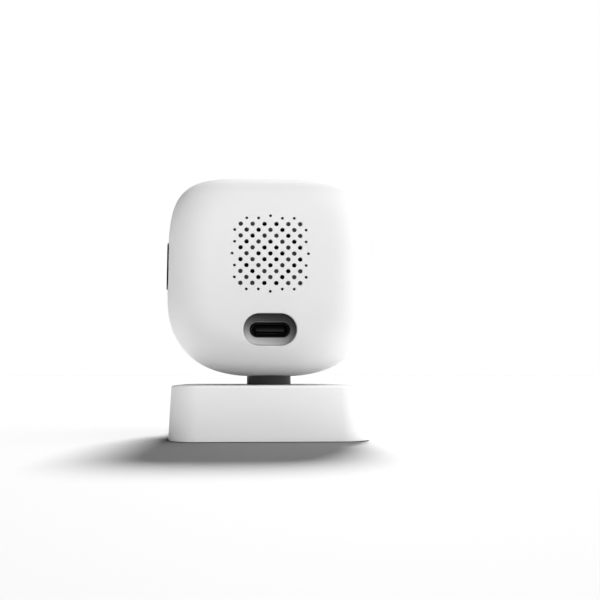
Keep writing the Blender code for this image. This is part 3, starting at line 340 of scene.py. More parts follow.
def make_brushed_lines():
    """Long fine scratches along X, as on rolled or brushed sheet."""
    made, given, out = new_group("brushed_lines", {"Vector": None, "Across": 4200.0}, ("Height", "Drift"))
    stretched = made.add("Mapping", {"Vector": given["Vector"], "Scale": (0.03, 1.0, 1.0)})
    lines = made.add("TexNoise", {"Vector": stretched.outputs["Vector"], "Scale": given["Across"],
                                  "Detail": 2.0})
    slow = made.add("TexNoise", {"Vector": given["Vector"], "Scale": 160.0, "Detail": 3.0})
    made.tree.links.new(lines.outputs["Fac"], out["Height"])
    made.tree.links.new(slow.outputs["Fac"], out["Drift"])
    return made.tree


def make_handling_marks():
    """Faint smudges and specks of dust that change gloss a little."""
    made, given, out = new_group("handling_marks", {"Vector": None, "Specks": 900.0}, ("Smudge", "Dust"))
    smear = made.add("TexNoise", {"Vector": given["Vector"], "Scale": 110.0, "Detail": 5.0,
                                  "Roughness": 0.65, "Distortion": 0.6})
    smudge = made.add("MapRange", {"Value": smear.outputs["Fac"], "From Min": 0.5, "From Max": 0.75})
    cells = made.add("TexVoronoi", {"Vector": given["Vector"], "Scale": given["Specks"]}, feature="F1")
    specks = made.add("MapRange", {"Value": cells.outputs["Distance"], "From Min": 0.06,
                                   "From Max": 0.02})
    made.tree.links.new(smudge.outputs["Result"], out["Smudge"])
    made.tree.links.new(specks.outputs["Result"], out["Dust"])
    return made.tree


def make_pocket_shade():
    """Mask for painted shade on what lies under a face that looks along Y, within a radius of a centre: holes
    and recesses.
    """
    made, given, out = new_group("pocket_shade", {"Vector": None, "Face": 0.0, "Height": 0.0,
                                                  "Radius": 0.01}, ("Mask",))
    parts = made.add("SeparateXYZ", {"Vector": given["Vector"]}).outputs
    up = made.add("Math", {0: parts["Z"], 1: given["Height"]}, operation="SUBTRACT").outputs[0]
    flat = made.add("CombineXYZ", {"X": parts["X"], "Y": up}).outputs[0]
    away = made.add("VectorMath", {0: flat}, operation="LENGTH").outputs["Value"]
    near = made.add("Math", {0: away, 1: given["Radius"]}, operation="LESS_THAN").outputs[0]
    deep = made.add("Math", {0: parts["Y"], 1: given["Face"]}, operation="LESS_THAN").outputs[0]
    both = made.add("Math", {0: near, 1: deep}, operation="MULTIPLY").outputs[0]
    made.tree.links.new(both, out["Mask"])
    return made.tree


GRAIN = make_moulded_grain()
PAINTED_POCKET_SHADE = make_pocket_shade()
BRUSHED = make_brushed_lines()
MARKS = make_handling_marks()


def start_finish(name, **constants):
    """A material with its shader's constants set, and its object coordinates."""
    made = bpy.data.materials.new(name)
    made.use_nodes = True
    tree = Tree(made.node_tree)
    shader = made.node_tree.nodes["Principled BSDF"]
    for label, value in constants.items():
        shader.inputs[label.replace("_", " ")].default_value = value
    where = tree.add("TexCoord").outputs["Object"]
    return made, tree, shader, where


def placed_group(tree, group, where, **values):
    """Place a node group in a material."""
    node = tree.tree.nodes.new("ShaderNodeGroup")
    node.node_tree = group
    tree.tree.links.new(where, node.inputs["Vector"])
    for label, value in values.items():
        node.inputs[label].default_value = value
    return node.outputs


def blended(tree, factor, dark, light):
    """A colour between two, chosen by a factor; each is a constant or another colour."""
    mix = tree.add("Mix", {"Factor": factor}, data_type="RGBA")
    slots = [socket for socket in mix.inputs if socket.type == "RGBA"]
    for socket, colour in zip(slots, (dark, light)):
        if isinstance(colour, bpy.types.NodeSocket):
            tree.tree.links.new(colour, socket)
        else:
            socket.default_value = (*colour, 1)
    return next(socket for socket in mix.outputs if socket.type == "RGBA")


def ranged(tree, value, low, high, from_min=0.3, from_max=0.7):
    """A value stretched to a new range."""
    return tree.add("MapRange", {"Value": value, "From Min": from_min, "From Max": from_max,
                                 "To Min": low, "To Max": high}).outputs["Result"]


def drive(tree, shader, tone, gloss, height=None, depth=0.0):
    """Feed a tone, a roughness and, where given, a bump height to the shader."""
    tree.tree.links.new(tone, shader.inputs["Base Color"])
    tree.tree.links.new(gloss, shader.inputs["Roughness"])
    if height is not None:
        bump = tree.add("Bump", {"Height": height, "Distance": depth})
        tree.tree.links.new(bump.outputs["Normal"], shader.inputs["Normal"])


def moulded_plastic(name, dark, light, rough, grain=2600.0, depth=0.01, specular=0.4, painted_shade_pockets=None):
    """Moulded plastic with a fine tool texture, a slow drift in tone, faint handling marks and, where asked,
    painted shade in the holes and recesses under its face.
    """
    made, tree, shader, where = start_finish(name, Specular_IOR_Level=specular, IOR=1.49)
    texture = placed_group(tree, GRAIN, where, Grain=grain)
    marks = placed_group(tree, MARKS, where)
    tone = blended(tree, ranged(tree, texture["Drift"], 0, 1), dark, light)
    if painted_shade_pockets:
        # Painted shade: the holes and recesses under the face are tinted a dark grey.
        mask = placed_group(tree, PAINTED_POCKET_SHADE, where, **painted_shade_pockets)["Mask"]
        tone = blended(tree, mask, tone, PAINTED_POCKET_SHADE_TONE)
    gloss = ranged(tree, texture["Drift"], *rough)
    smudged = tree.add("Math", {0: marks["Smudge"], 1: SMUDGE_GLOSS, 2: gloss}, operation="MULTIPLY_ADD")
    drive(tree, shader, tone, smudged.outputs[0], texture["Height"], depth * mm)
    return made


SMUDGE_GLOSS = -0.05
# How steeply the collar's painted shade deepens towards one end along X.
PAINTED_SHADE_TILT = 28.0


def recess_plastic_painted_shade(name, centre, span):
    """Grey plastic lining of a pocket, with painted shade that darkens it towards its top and one end."""
    made, tree, shader, where = start_finish(name, Specular_IOR_Level=0.3)
    texture = placed_group(tree, GRAIN, where)
    parts = tree.add("SeparateXYZ", {"Vector": where}).outputs
    down = tree.add("MapRange", {"Value": parts["Z"], "From Min": centre + span, "From Max": centre - span,
                                 "To Min": -0.05, "To Max": 1.05}, clamp=False).outputs["Result"]
    tilted = tree.add("Math", {0: parts["X"], 1: PAINTED_SHADE_TILT, 2: down}, operation="MULTIPLY_ADD").outputs[0]
    share = tree.add("Math", {0: tilted, 1: 0.0}, operation="MAXIMUM").outputs[0]
    eased_painted_shade = tree.add("Math", {0: share, 1: 2.0}, operation="POWER").outputs[0]
    # Painted shade: near black at the top and one end of the pocket, light grey lower down.
    drive(tree, shader, blended(tree, eased_painted_shade, grey(0.03), grey(0.58)),
          ranged(tree, texture["Drift"], 0.5, 0.62), texture["Height"], 0.008 * mm)
    return made


def metal(name, dark, light, rough, across=4200.0):
    """Sheet or turned metal with fine lines."""
    made, tree, shader, where = start_finish(name, Metallic=1.0)
    lines = placed_group(tree, BRUSHED, where, Across=across)
    drive(tree, shader, blended(tree, ranged(tree, lines["Drift"], 0, 1), dark, light),
          ranged(tree, lines["Height"], *rough), lines["Height"], 0.004 * mm)
    return made


def gloss_black(name):
    """Polished black window with a clear hard coat and the faintest smudges."""
    made, tree, shader, where = start_finish(name, Coat_Weight=0.35, Coat_Roughness=0.03,
                                             Specular_IOR_Level=0.3)
    marks = placed_group(tree, MARKS, where, Specks=1400.0)
    tone = blended(tree, marks["Smudge"], (0.006, 0.006, 0.007), (0.011, 0.011, 0.012))
    drive(tree, shader, tone, ranged(tree, marks["Smudge"], 0.05, 0.12, 0, 1))
    return made


def lens_coating(name):
    """Coated optical glass: clear, with a violet and green bloom towards its rim."""
    made, tree, shader, where = start_finish(name, IOR=1.52, Transmission_Weight=1.0,
                                             Thin_Film_Thickness=380.0, Thin_Film_IOR=1.38)
    marks = placed_group(tree, MARKS, where, Specks=1500.0)
    tone = blended(tree, marks["Smudge"], (0.80, 0.86, 1.0), (0.78, 0.83, 0.95))
    drive(tree, shader, tone, ranged(tree, marks["Smudge"], 0.01, 0.03, 0, 1))
    return made


def clear_lamp(name):
    """Water-clear lamp resin with a cloudy heart."""
    made, tree, shader, where = start_finish(name, IOR=1.5, Transmission_Weight=0.7)
    cloud = tree.add("TexNoise", {"Vector": where, "Scale": 900.0, "Detail": 3.0}).outputs["Fac"]
    drive(tree, shader, blended(tree, cloud, (0.72, 0.72, 0.78), (0.85, 0.85, 0.9)),
          ranged(tree, cloud, 0.08, 0.2))
    return made


def solder_mask(name):
    """Green circuit board with copper tracks that show through the lacquer."""
    made, tree, shader, where = start_finish(name, Coat_Weight=0.4, Coat_Roughness=0.2)
    grid = tree.add("TexBrick", {"Vector": where, "Scale": 260.0, "Mortar Size": 0.06,
                                 "Color1": (0, 0, 0, 1), "Color2": (0.25, 0.25, 0.25, 1),
                                 "Mortar": (1, 1, 1, 1)}).outputs["Color"]
    drive(tree, shader, blended(tree, grid, (0.008, 0.06, 0.025), (0.03, 0.17, 0.07)),
          ranged(tree, grid, 0.42, 0.3, 0, 1), grid, 0.02 * mm)
    return made


def rubber(name):
    """Soft black rubber with a fine stipple."""
    made, tree, shader, where = start_finish(name, Specular_IOR_Level=0.25)
    texture = placed_group(tree, GRAIN, where, Grain=1500.0)
    marks = placed_group(tree, MARKS, where, Specks=700.0)
    tone = blended(tree, marks["Dust"], (0.022, 0.022, 0.023), (0.05, 0.05, 0.05))
    drive(tree, shader, tone, ranged(tree, texture["Drift"], 0.75, 0.9), texture["Height"], 0.03 * mm)
    return made


def film(name):
    """Amber flexible film with fine copper lines along it."""
    made, tree, shader, where = start_finish(name, Specular_IOR_Level=0.5)
    lines = tree.add("TexWave", {"Vector": where, "Scale": 500.0}, bands_direction="X").outputs["Fac"]
    drive(tree, shader, blended(tree, lines, (0.28, 0.11, 0.02), (0.5, 0.24, 0.06)),
          ranged(tree, lines, 0.3, 0.42, 0, 1), lines, 0.01 * mm)
    return made


def woven(name):
    """Black acoustic cloth, woven one over one."""
    made, tree, shader, where = start_finish(name, Specular_IOR_Level=0.2)
    threads = [tree.add("TexWave", {"Vector": where, "Scale": 900.0}, bands_direction=way).outputs["Fac"]
               for way in ("X", "Z")]
    weave = tree.add("Math", {0: threads[0], 1: threads[1]}, operation="MULTIPLY").outputs[0]
    drive(tree, shader, blended(tree, weave, grey(0.002), grey(0.012)),
          ranged(tree, weave, 0.85, 0.95, 0, 1), weave, 0.05 * mm)
    return made


GRILLE_CENTRE = middle_of("grille_cloth")
# Dark grey of the shade painted into the grille's holes.
PAINTED_POCKET_SHADE_TONE = grey(0.16)
SHELL_LOOK = {"dark": grey(0.81), "light": grey(0.83), "rough": (0.6, 0.68), "specular": 0.3}

FINISHES = {
    # The drilled shell's finish has shade painted into the grille holes below its face.
    "drilled_shell": moulded_plastic("drilled_shell", **SHELL_LOOK,
                                     painted_shade_pockets={"Face": REAR_FACE - 0.25 * mm, "Height": GRILLE_CENTRE.z,
                                              "Radius": 11.2 * mm}),
    "white_shell": moulded_plastic("white_shell", **SHELL_LOOK),
    # The collar's finish has shade painted into it, darker at its top and one end.
    "collar_grey": recess_plastic_painted_shade("collar_grey", middle_of("usb_shell").z, 3.8 * mm),
    "neck_grey": moulded_plastic("neck_grey", (0.07, 0.07, 0.072), (0.085, 0.085, 0.088), (0.42, 0.5)),
    "dark_plastic": moulded_plastic("dark_plastic", (0.035, 0.035, 0.037), (0.05, 0.05, 0.052),
                                    (0.45, 0.55)),
    "key_black": moulded_plastic("key_black", grey(0.006), grey(0.01), (0.5, 0.58),
                                 3600.0, 0.006, 0.15),
    "window_black": gloss_black("window_black"),
    "barrel_black": moulded_plastic("barrel_black", grey(0.008), grey(0.014), (0.5, 0.6),
                                    4000.0, 0.006, 0.3),
    "lens_glass": lens_coating("lens_glass"),
    "lamp_clear": clear_lamp("lamp_clear"),
    "board_green": solder_mask("board_green"),
    "chip_black": moulded_plastic("chip_black", (0.012, 0.012, 0.013), (0.022, 0.022, 0.024),
                                  (0.4, 0.55), 5000.0, 0.008),
    "bare_steel": metal("bare_steel", (0.42, 0.42, 0.43), (0.55, 0.55, 0.56), (0.26, 0.4)),
    "dark_nickel": metal("dark_nickel", (0.012, 0.012, 0.013), (0.02, 0.02, 0.021), (0.4, 0.5)),
    "bare_aluminium": metal("bare_aluminium", (0.66, 0.67, 0.68), (0.78, 0.79, 0.8), (0.3, 0.45), 3000.0),
    "black_rubber": rubber("black_rubber"),
    "ribbon_film": film("ribbon_film"),
    "black_cloth": woven("black_cloth"),
}

for subpart in frame["record"]["subparts"]:
    carried = frame["nodes"][subpart["node"]]
    carried.material_slots[0].material = FINISHES[subpart["material_slot"]]

# Head form --------------------------------------------------------------------------------------


def roll(share):
    """Rise of a rounded edge from 0 to 1."""
    share = min(max(share, 0.0), 1.0)
    return 1 - (1 - share ** END_SQUARENESS) ** (1 / END_SQUARENESS)


def head_reach(y, inset):
    """Half width, height above and depth below the widest level, at one depth."""
    side_roll, top_roll, low_roll = REAR_ROLLS if y > 0 else FRONT_ROLLS
    past_sides = roll((abs(y) - (REAR_FACE - SIDE_RUN)) / (SIDE_RUN - inset))
    past_low = roll((abs(y) - (REAR_FACE - LOW_RUN)) / (LOW_RUN - inset))
    return (HEAD_HALF - inset - (side_roll - inset) * past_sides,
            HEAD_UPPER - inset - (top_roll - inset) * past_sides,
            HEAD_LOWER - inset - (low_roll - inset) * past_low)


def head_ring(y, inset):
    """Place of each vertex of the head's outline at one depth."""
    half, upper, lower = head_reach(y, inset)

    def place(number):
        angle = math.tau * number / OUTLINE_STEPS
        across, up = math.cos(angle), math.sin(angle)
        power, height = (UPPER_SQUARENESS, upper) if up > 0 else (LOWER_SQUARENESS, lower)
        reach = ((abs(across) / half) ** power + (abs(up) / height) ** power) ** (-1 / power)
        return Vector((reach * across, y, HEAD_LEVEL + reach * up))
    return place


def stations(start, end, inset, steps):
    """Depths from start to end, closer together where the form rolls over."""
    low, high = sorted((start, end))
    made = {start, end}
    for k in range(steps + 1):
        reach = REAR_FACE - LOW_RUN + (LOW_RUN - inset) * math.sin(math.radians(90) * k / steps)
        made |= {y for y in (-reach, reach) if low + 0.02 * mm < y < high - 0.002 * mm}
    return sorted(made, reverse=start > end)


def rear_surface(x, z):
    """Depth at which the head's rear surface lies over a point, found by halving."""
    def inside(y):
        half, upper, lower = head_reach(y, 0)
        up = z - HEAD_LEVEL
        power, height = (UPPER_SQUARENESS, upper) if up > 0 else (LOWER_SQUARENESS, lower)
        return (abs(x) / half) ** power + (abs(up) / height) ** power <= 1
    near, far = 0.0, REAR_FACE
    if inside(far):
        return far
    for _ in range(40):
        centre = (near + far) / 2
        near, far = (centre, far) if inside(centre) else (near, centre)
    return near


# Rear housing -----------------------------------------------------------------------------------

GRILLE_STEP = 1.397 * mm
GRILLE_REACH = 5
OUTER_REACH = 6
OUTER_TIP = 6.4
LARGE_HOLE = 0.53 * mm
SMALL_HOLE = 0.34 * mm
HOLE_EDGE = 0.05 * mm
OPEN_RINGS = (0, 2, 6)
BLIND_DEPTH = 1.4 * mm
INLET_CENTRE = middle_of("usb_shell")
INLET_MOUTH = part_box("usb_shell")[1].y
RECESS_SIZE = (12.45 * mm, 7.56 * mm)
RECESS_FLOOR = REAR_FACE - 2.0 * mm
RECESS_EDGE = 0.25 * mm
INLET_WALL = 1.2 * mm
HOLE_SIZE = (9.62 * mm, 3.68 * mm)
KEY_LOW, KEY_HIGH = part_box("side_button")
KEY_CENTRE = ((KEY_LOW.y + KEY_HIGH.y) / 2, (KEY_LOW.z + KEY_HIGH.z) / 2)
KEY_FLANGE = 1.1 * mm
KEY_GAP = 0.12 * mm
NECK_LOW, NECK_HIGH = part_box("neck_stem")
NECK_RADIUS = 5.7 * mm


def hole_cutter(radius, depth):
    """One grille drill with a softened mouth, along Y, ending depth below the rear face."""
    profile = [(0, -depth), (radius * 0.7, -depth), (radius, -depth + 0.3 * radius)]
    for outward, inward in fillet_steps(HOLE_EDGE, 4, 80):
        profile.append((radius + outward, -inward))
    profile += [(radius + HOLE_EDGE * 1.2, 0.5 * mm), (0, 0.5 * mm)]
    return lathe(profile, (0, REAR_FACE, 0), "Y", 24)


def grille_cutter():
    """All the drills of the grille: large staggered holes, some blind, and small ones round them."""
    drills = {kind: hole_cutter(*size) for kind, size in {
        "open": (LARGE_HOLE, 2 * HEAD_WALL),
        "blind": (LARGE_HOLE, BLIND_DEPTH),
        "small": (SMALL_HOLE, 2 * HEAD_WALL)}.items()}
    places = []
    for i in range(-GRILLE_REACH, GRILLE_REACH + 1):
        for j in range(-GRILLE_REACH, GRILLE_REACH + 1):
            if (i + j) % 2 == 0:
                places.append(("open" if abs(i) + abs(j) in OPEN_RINGS else "blind", i, j))
    for sign in (1, -1):
        places += [("small", 0, sign * OUTER_TIP), ("small", sign * OUTER_TIP, 0)]
        for step in (-4, -2, 2, 4):
            places += [("small", step, sign * OUTER_REACH), ("small", sign * OUTER_REACH, step)]
    whole = bmesh.new()
    for kind, i, j in places:
        drill = drills[kind].copy()
        bmesh.ops.translate(drill, verts=drill.verts,
                            vec=(i * GRILLE_STEP, 0, GRILLE_CENTRE.z + j * GRILLE_STEP))
        whole = merge(whole, drill)
    for drill in drills.values():
        drill.free()
    return whole


def inlet_ring(width, height, level, surface=False, corner_steps=CORNER_STEPS):
    """Place of each vertex of a pill round the inlet's axis, at a depth or set off from the surface."""
    points = pill(width, height, corner_steps)

    def place(number):
        x, up = points[number]
        z = INLET_CENTRE.z + up
        return Vector((x, rear_surface(x, z) + level if surface else level, z))
    return place


def recess_cutter():
    """The plug recess: a pill with a rounded floor edge and a mouth that follows the head's surface."""
    corner_steps = 12

    def ring(offset, depth, follow):
        return inlet_ring(*(side + 2 * offset for side in RECESS_SIZE), depth, follow, corner_steps)
    floor_edge = 0.35 * mm
    rings = [ring(-into, RECESS_FLOOR + out, False) for out, into in fillet_steps(floor_edge, 3)]
    rings += [ring(out, -into, True) for out, into in fillet_steps(RECESS_EDGE, 7, FLARE_ARC)]
    rings += [ring(RECESS_EDGE * FLARE_PAST, 1.2 * mm, True)]
    bm, first, last = ring_chain(rings, outline_count(corner_steps))
    close_ring(bm, first)
    bmesh.ops.contextual_create(bm, geom=last)
    bmesh.ops.triangulate(bm, faces=[face for face in bm.faces if len(face.verts) > 4])
    return bm


def pill_cutter(size, edge, low, high, centre, along):
    """A straight pill-shaped cutter whose far end flares by an edge radius at the surface."""
    turn = {"X": lambda a, b, c: Vector((c, centre[0] + a, centre[1] + b)),
            "Y": lambda a, b, c: Vector((centre[0] + a, c, centre[1] + b)),
            "Z": lambda a, b, c: Vector((centre[0] + a, centre[1] + b, c))}[along]
    sign = math.copysign(1, high - low)

    def ring(offset, level):
        points = pill(size[0] + 2 * offset, size[1] + 2 * offset)
        return lambda number: turn(*points[number], level)
    rings = [ring(0, low)]
    if edge:
        rings += [ring(out, high - sign * into) for out, into in fillet_steps(edge, 4, FLARE_ARC)]
    rings.append(ring(edge * FLARE_PAST, high + sign * CLEAR))
    bm, first, last = ring_chain(rings, outline_count())
    close_ring(bm, first)
    close_ring(bm, last)
    return bm


def make_rear_shell():
    """Deep shell with rolled edges, drilled grille, plug recess, key hole and neck slot."""
    rear_inside = REAR_FACE - HEAD_WALL
    rings = [(y, 0) for y in stations(REAR_FACE, PARTING + SEAM_EDGE, 0, ROLL_STEPS)]
    rings += [(PARTING + SEAM_EDGE * 0.3, SEAM_EDGE * 0.3), (PARTING, SEAM_EDGE), (PARTING, HEAD_WALL)]
    rings += [(y, HEAD_WALL) for y in stations(PARTING + 0.5 * mm, rear_inside, HEAD_WALL, INSIDE_STEPS)]
    bm, outside, inside = ring_chain([head_ring(y, inset) for y, inset in rings], OUTLINE_STEPS)
    close_ring(bm, outside, CAP_STRIP)
    close_ring(bm, inside)
    lines = [(k + 0.5) * GRILLE_STEP for k in range(-OUTER_REACH - 2, OUTER_REACH + 2)]
    split_cap(bm, Vector((0, REAR_FACE, 0)), lines,
              [GRILLE_CENTRE.z + line for line in lines] + [INLET_CENTRE.z + RECESS_SIZE[1] / 2 + 1 * mm])
    pad_back = INLET_MOUTH + 0.3 * mm
    pad_depth = 1.9 * mm
    pad = block((RECESS_SIZE[0] + 2 * HEAD_WALL, pad_depth, RECESS_SIZE[1] + 1.0 * mm),
                (0, pad_back + pad_depth / 2, INLET_CENTRE.z + 0.5 * mm))
    bm = cut(bm, pad, "UNION")
    bm = cut(bm, recess_cutter())
    bm = cut(bm, pill_cutter(HOLE_SIZE, 0.0, pad_back - 1 * mm, RECESS_FLOOR + 0.4 * mm,
                             (0, INLET_CENTRE.z), "Y"))
    bm = cut(bm, grille_cutter())
    key_size = [KEY_HIGH[k] - KEY_LOW[k] - 2 * KEY_FLANGE + 2 * KEY_GAP for k in (1, 2)]
    bm = cut(bm, pill_cutter(key_size, 0.12 * mm, HEAD_HALF - 3 * mm, HEAD_HALF, KEY_CENTRE, "X"))
    slot_size = (2 * NECK_RADIUS + 0.9 * mm, 2 * (NECK_RADIUS + 3.1 * mm))
    bm = cut(bm, pill_cutter(slot_size, 0.3 * mm, HEAD_BOTTOM + 2 * HEAD_WALL, HEAD_BOTTOM, (0, 0), "Z"))
    finished("rear_shell", bm, "head", "white_shell", ["rear_housing"], "drilled_shell")


make_rear_shell()

# Front bezel and window -------------------------------------------------------------------------

WINDOW_LOW, WINDOW_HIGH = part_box("front_window")
WINDOW_CENTRE = middle_of("front_window")
WINDOW_RADIUS = (WINDOW_HIGH.x - WINDOW_LOW.x) / 2
LEDGE_RADIUS = WINDOW_RADIUS - 1.1 * mm
LENS_AXIS = (0, 0, WINDOW_CENTRE.z)
WINDOW_HOLE = 6.2 * mm


def make_front_shell():
    """Shallow front shell with its lip, and the stepped round hole that holds the window."""
    seam = PARTING - SEAM
    lip_inset = HEAD_WALL + 0.3 * mm
    inner_inset = lip_inset + 1.0 * mm
    lip_end = BEZEL_HIGH.y
    inside = FRONT_FACE + 3.0 * mm
    rings = [(y, 0) for y in stations(FRONT_FACE, seam - SEAM_EDGE, 0, ROLL_STEPS)]
    rings += [(seam - SEAM_EDGE * 0.3, SEAM_EDGE * 0.3), (seam, SEAM_EDGE), (seam, lip_inset),
              (lip_end - 0.2 * mm, lip_inset), (lip_end, lip_inset + 0.2 * mm), (lip_end, inner_inset)]
    rings += [(y, inner_inset) for y in stations(lip_end - 0.5 * mm, inside, inner_inset, INSIDE_STEPS)]
    bm, front, back = ring_chain([head_ring(y, inset) for y, inset in rings], OUTLINE_STEPS)
    close_ring(bm, front, CAP_STRIP)
    close_ring(bm, back)
    pocket_radius = WINDOW_RADIUS + 0.1 * mm
    edge = 0.35 * mm
    through = 4 * mm
    ledge = WINDOW_HIGH.y - FRONT_FACE + 0.2 * mm
    profile = [(0, through), (LEDGE_RADIUS, through), (LEDGE_RADIUS, ledge), (pocket_radius, ledge)]
    profile += [(pocket_radius + out, into) for out, into in fillet_steps(edge, 6, FLARE_ARC)]
    profile += [(pocket_radius + edge * FLARE_PAST, -CLEAR), (0, -CLEAR)]
    bm = cut(bm, lathe(profile, (0, FRONT_FACE, WINDOW_CENTRE.z), "Y", 160))
    finished("front_shell", bm, "head", "white_shell", ["front_bezel"])


make_front_shell()


def make_window():
    """Black window disc with a softened rim and a shallow funnel down to the lens."""
    front, rear = WINDOW_LOW.y, WINDOW_HIGH.y
    profile = [(WINDOW_RADIUS, rear), (WINDOW_RADIUS, front), (WINDOW_HOLE + 3.2 * mm, front),
               (WINDOW_HOLE + 2.9 * mm, front + 0.25 * mm), (WINDOW_HOLE, front + 0.75 * mm),
               (WINDOW_HOLE, rear)]
    bm = lathe(soften(profile, 0.3 * mm, 5), LENS_AXIS, "Y", 160)
    dot = 0.55 * mm
    aside = 10.5 * mm
    base = front + 0.45 * mm

    def along(points, x, up):
        return lathe(points, (x, 0, WINDOW_CENTRE.z + up), "Y", 32)
    marks = []
    for x, up, radius in ((0, -aside, dot), (0, aside, 1.1 * dot), (aside, 0, 0.5 * dot)):
        marks.append(along([(0, front - CLEAR), (radius, front - CLEAR), (radius, front + 0.5 * mm),
                            (0, front + 0.5 * mm)], x, up))
    bm = cut(bm, merge(*marks))
    finished("window_disc", bm, "head", "window_black", ["front_window"])
    for name, slot, up, radius, rim, top in (
            ("status_light_pipe", "lamp_clear", -aside, 0.9 * dot, 0.06 * mm, 0.02 * mm),
            ("light_sensor_eye", "chip_black", aside, dot, 0.15 * mm, 0.1 * mm)):
        stud = [(0, base), (radius, base), (radius, front + rim), (0, front + top)]
        finished(name, along(soften(stud, 0.1 * mm, 3, False), 0, up), "head", slot)


make_window()

# Lens -------------------------------------------------------------------------------------------


def make_lens():
    """Lens tube with stepped baffles, its domed front glass and its rear glass."""
    low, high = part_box("lens_barrel")
    front, rear = low.y, high.y
    radius = (high.x - low.x) / 2
    glass_low, glass_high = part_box("lens_front_glass")
    glass_radius = (glass_high.x - glass_low.x) / 2
    seat_radius = 4.8 * mm
    step = rear - 4.4 * mm
    seat = front + 2.4 * mm
    bore = [(glass_radius + 0.9 * mm, front), (glass_radius + 0.35 * mm, front + 0.35 * mm),
            (glass_radius + 0.3 * mm, seat)]
    ridge = 0.45 * mm
    for k in range(5):
        wide = glass_radius - 0.3 * mm - ridge * k
        bore += [(wide, seat + ridge * 2 * k), (wide - 0.25 * mm, seat + ridge * (2 * k + 1))]
    rear_low, rear_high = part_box("lens_rear_glass")
    rear_radius = (rear_high.x - rear_low.x) / 2
    bore += [(1.7 * mm, rear_low.y - 0.35 * mm), (rear_radius + 0.3 * mm, rear_low.y - 0.3 * mm),
             (rear_radius + 0.3 * mm, rear)]
    profile = [(seat_radius, rear), (seat_radius, step), (radius, step), (radius, front)] + bore
    tube = lathe(soften(profile, 0.12 * mm, 3), LENS_AXIS, "Y", 96)
    finished("lens_tube", tube, "head", "barrel_black", ["lens_barrel"], smooth_below=25)
    for name, node, size, bottom, top in (
            ("front_glass", "lens_front_glass", glass_radius, glass_low.y, glass_high.y),
            ("rear_glass", "lens_rear_glass", rear_radius, rear_low.y, rear_high.y)):
        dome = 0.5 * (top - bottom)
        profile = [(0, top), (size, top)]
        dome_steps = 16
        for k in range(dome_steps + 1):
            angle = math.radians(90) * k / dome_steps
            profile.append((size * math.cos(angle), bottom + dome * (1 - math.sin(angle))))
        finished(name, lathe(profile, LENS_AXIS, "Y", 96), "head", "lens_glass", [node])


make_lens()

# Power inlet ------------------------------------------------------------------------------------


def make_inlet_collar():
    """Grey funnel that lines the recess, and the black sleeve that lines the hole."""
    gap = 0.1 * mm
    width, height = RECESS_SIZE[0] - gap, RECESS_SIZE[1] - gap
    back = RECESS_FLOOR + 0.02 * mm
    rim = 0.14 * mm
    hole_width, hole_height = HOLE_SIZE[0], HOLE_SIZE[1] + 0.06 * mm
    rings = [inlet_ring(width, height, back), inlet_ring(width, height, -0.35 * mm, True),
             inlet_ring(width - rim, height - rim, -0.3 * mm, True)]
    for share, rise in fillet_steps(1.0, 9)[1:]:
        drop = 1 - rise
        size = (width - rim + (hole_width - width + rim) * share,
                height - rim + (hole_height - height + rim) * share)
        high = inlet_ring(*size, -0.3 * mm, True)
        low = inlet_ring(*size, back + 0.1 * mm)
        rings.append(lambda number, high=high, low=low, drop=drop: high(number).lerp(low(number), drop))
    rings += [inlet_ring(hole_width, hole_height, back)]
    bm, first, last = ring_chain(rings, outline_count())
    bmesh.ops.bridge_loops(bm, edges=first + last)
    # The funnel's finish paints shade into it, darker at its top and one end.
    finished("inlet_collar", bm, "head", "white_shell", finish="collar_grey", smooth_below=50)

    wall = 0.14 * mm
    front = back + 0.04 * mm
    rear = INLET_MOUTH + 0.02 * mm
    outer = (HOLE_SIZE[0] - 0.02 * mm, HOLE_SIZE[1] - 0.02 * mm)
    inner = (outer[0] - 2 * wall, outer[1] - 2 * wall)
    edge = 0.05 * mm
    rings = [inlet_ring(*outer, rear), inlet_ring(*outer, front - edge),
             inlet_ring(outer[0] - edge, outer[1] - edge, front),
             inlet_ring(inner[0] + edge, inner[1] + edge, front), inlet_ring(*inner, front - edge),
             inlet_ring(*inner, rear)]
    bm, first, last = ring_chain(rings, outline_count())
    bmesh.ops.bridge_loops(bm, edges=first + last)
    finished("inlet_sleeve", bm, "head", "chip_black", finish="barrel_black")


make_inlet_collar()


def make_inlet():
    """Plated shell with a rolled lip, and the stepped tongue inside it."""
    low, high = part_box("usb_shell")
    width, height = high.x - low.x, high.z - low.z
    wall = 0.3 * mm

    def ring(offset, level):
        return inlet_ring(width + 2 * offset, height + 2 * offset, level)
    rings = [ring(-0.2 * mm, low.y), ring(0, low.y + 0.2 * mm), ring(0, high.y - 0.1 * mm),
             ring(-0.05 * mm, high.y - 0.02 * mm), ring(-wall / 2, high.y),
             ring(-wall + 0.05 * mm, high.y - 0.02 * mm), ring(-wall, high.y - 0.1 * mm),
             ring(-wall, low.y + wall)]
    bm, outside, inside = ring_chain(rings, outline_count())
    close_ring(bm, outside)
    close_ring(bm, inside)
    finished("inlet_shell", bm, "head", "dark_nickel", ["usb_shell"])

    tongue_low, tongue_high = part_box("usb_tongue")
    length = tongue_high.y - tongue_low.y
    tongue_width = tongue_high.x - tongue_low.x
    blade = block((tongue_width, length, 0.7 * mm),
                  (0, (tongue_low.y + tongue_high.y) / 2, INLET_CENTRE.z), 0.12 * mm)
    root = block((tongue_width, 1.4 * mm, 1.9 * mm), (0, tongue_low.y + 0.7 * mm, INLET_CENTRE.z), 0.1 * mm)
    finished("inlet_tongue", cut(blade, root, "UNION"), "head", "chip_black", ["usb_tongue"], "barrel_black")


make_inlet()

# Push key ---------------------------------------------------------------------------------------


def side_surface(y, z):
    """How far out the head's side lies at one depth and level above the widest level."""
    half, upper, _ = head_reach(y, 0)
    rise = max(z - HEAD_LEVEL, 0) / upper
    return half * (1 - rise ** UPPER_SQUARENESS) ** (1 / UPPER_SQUARENESS)


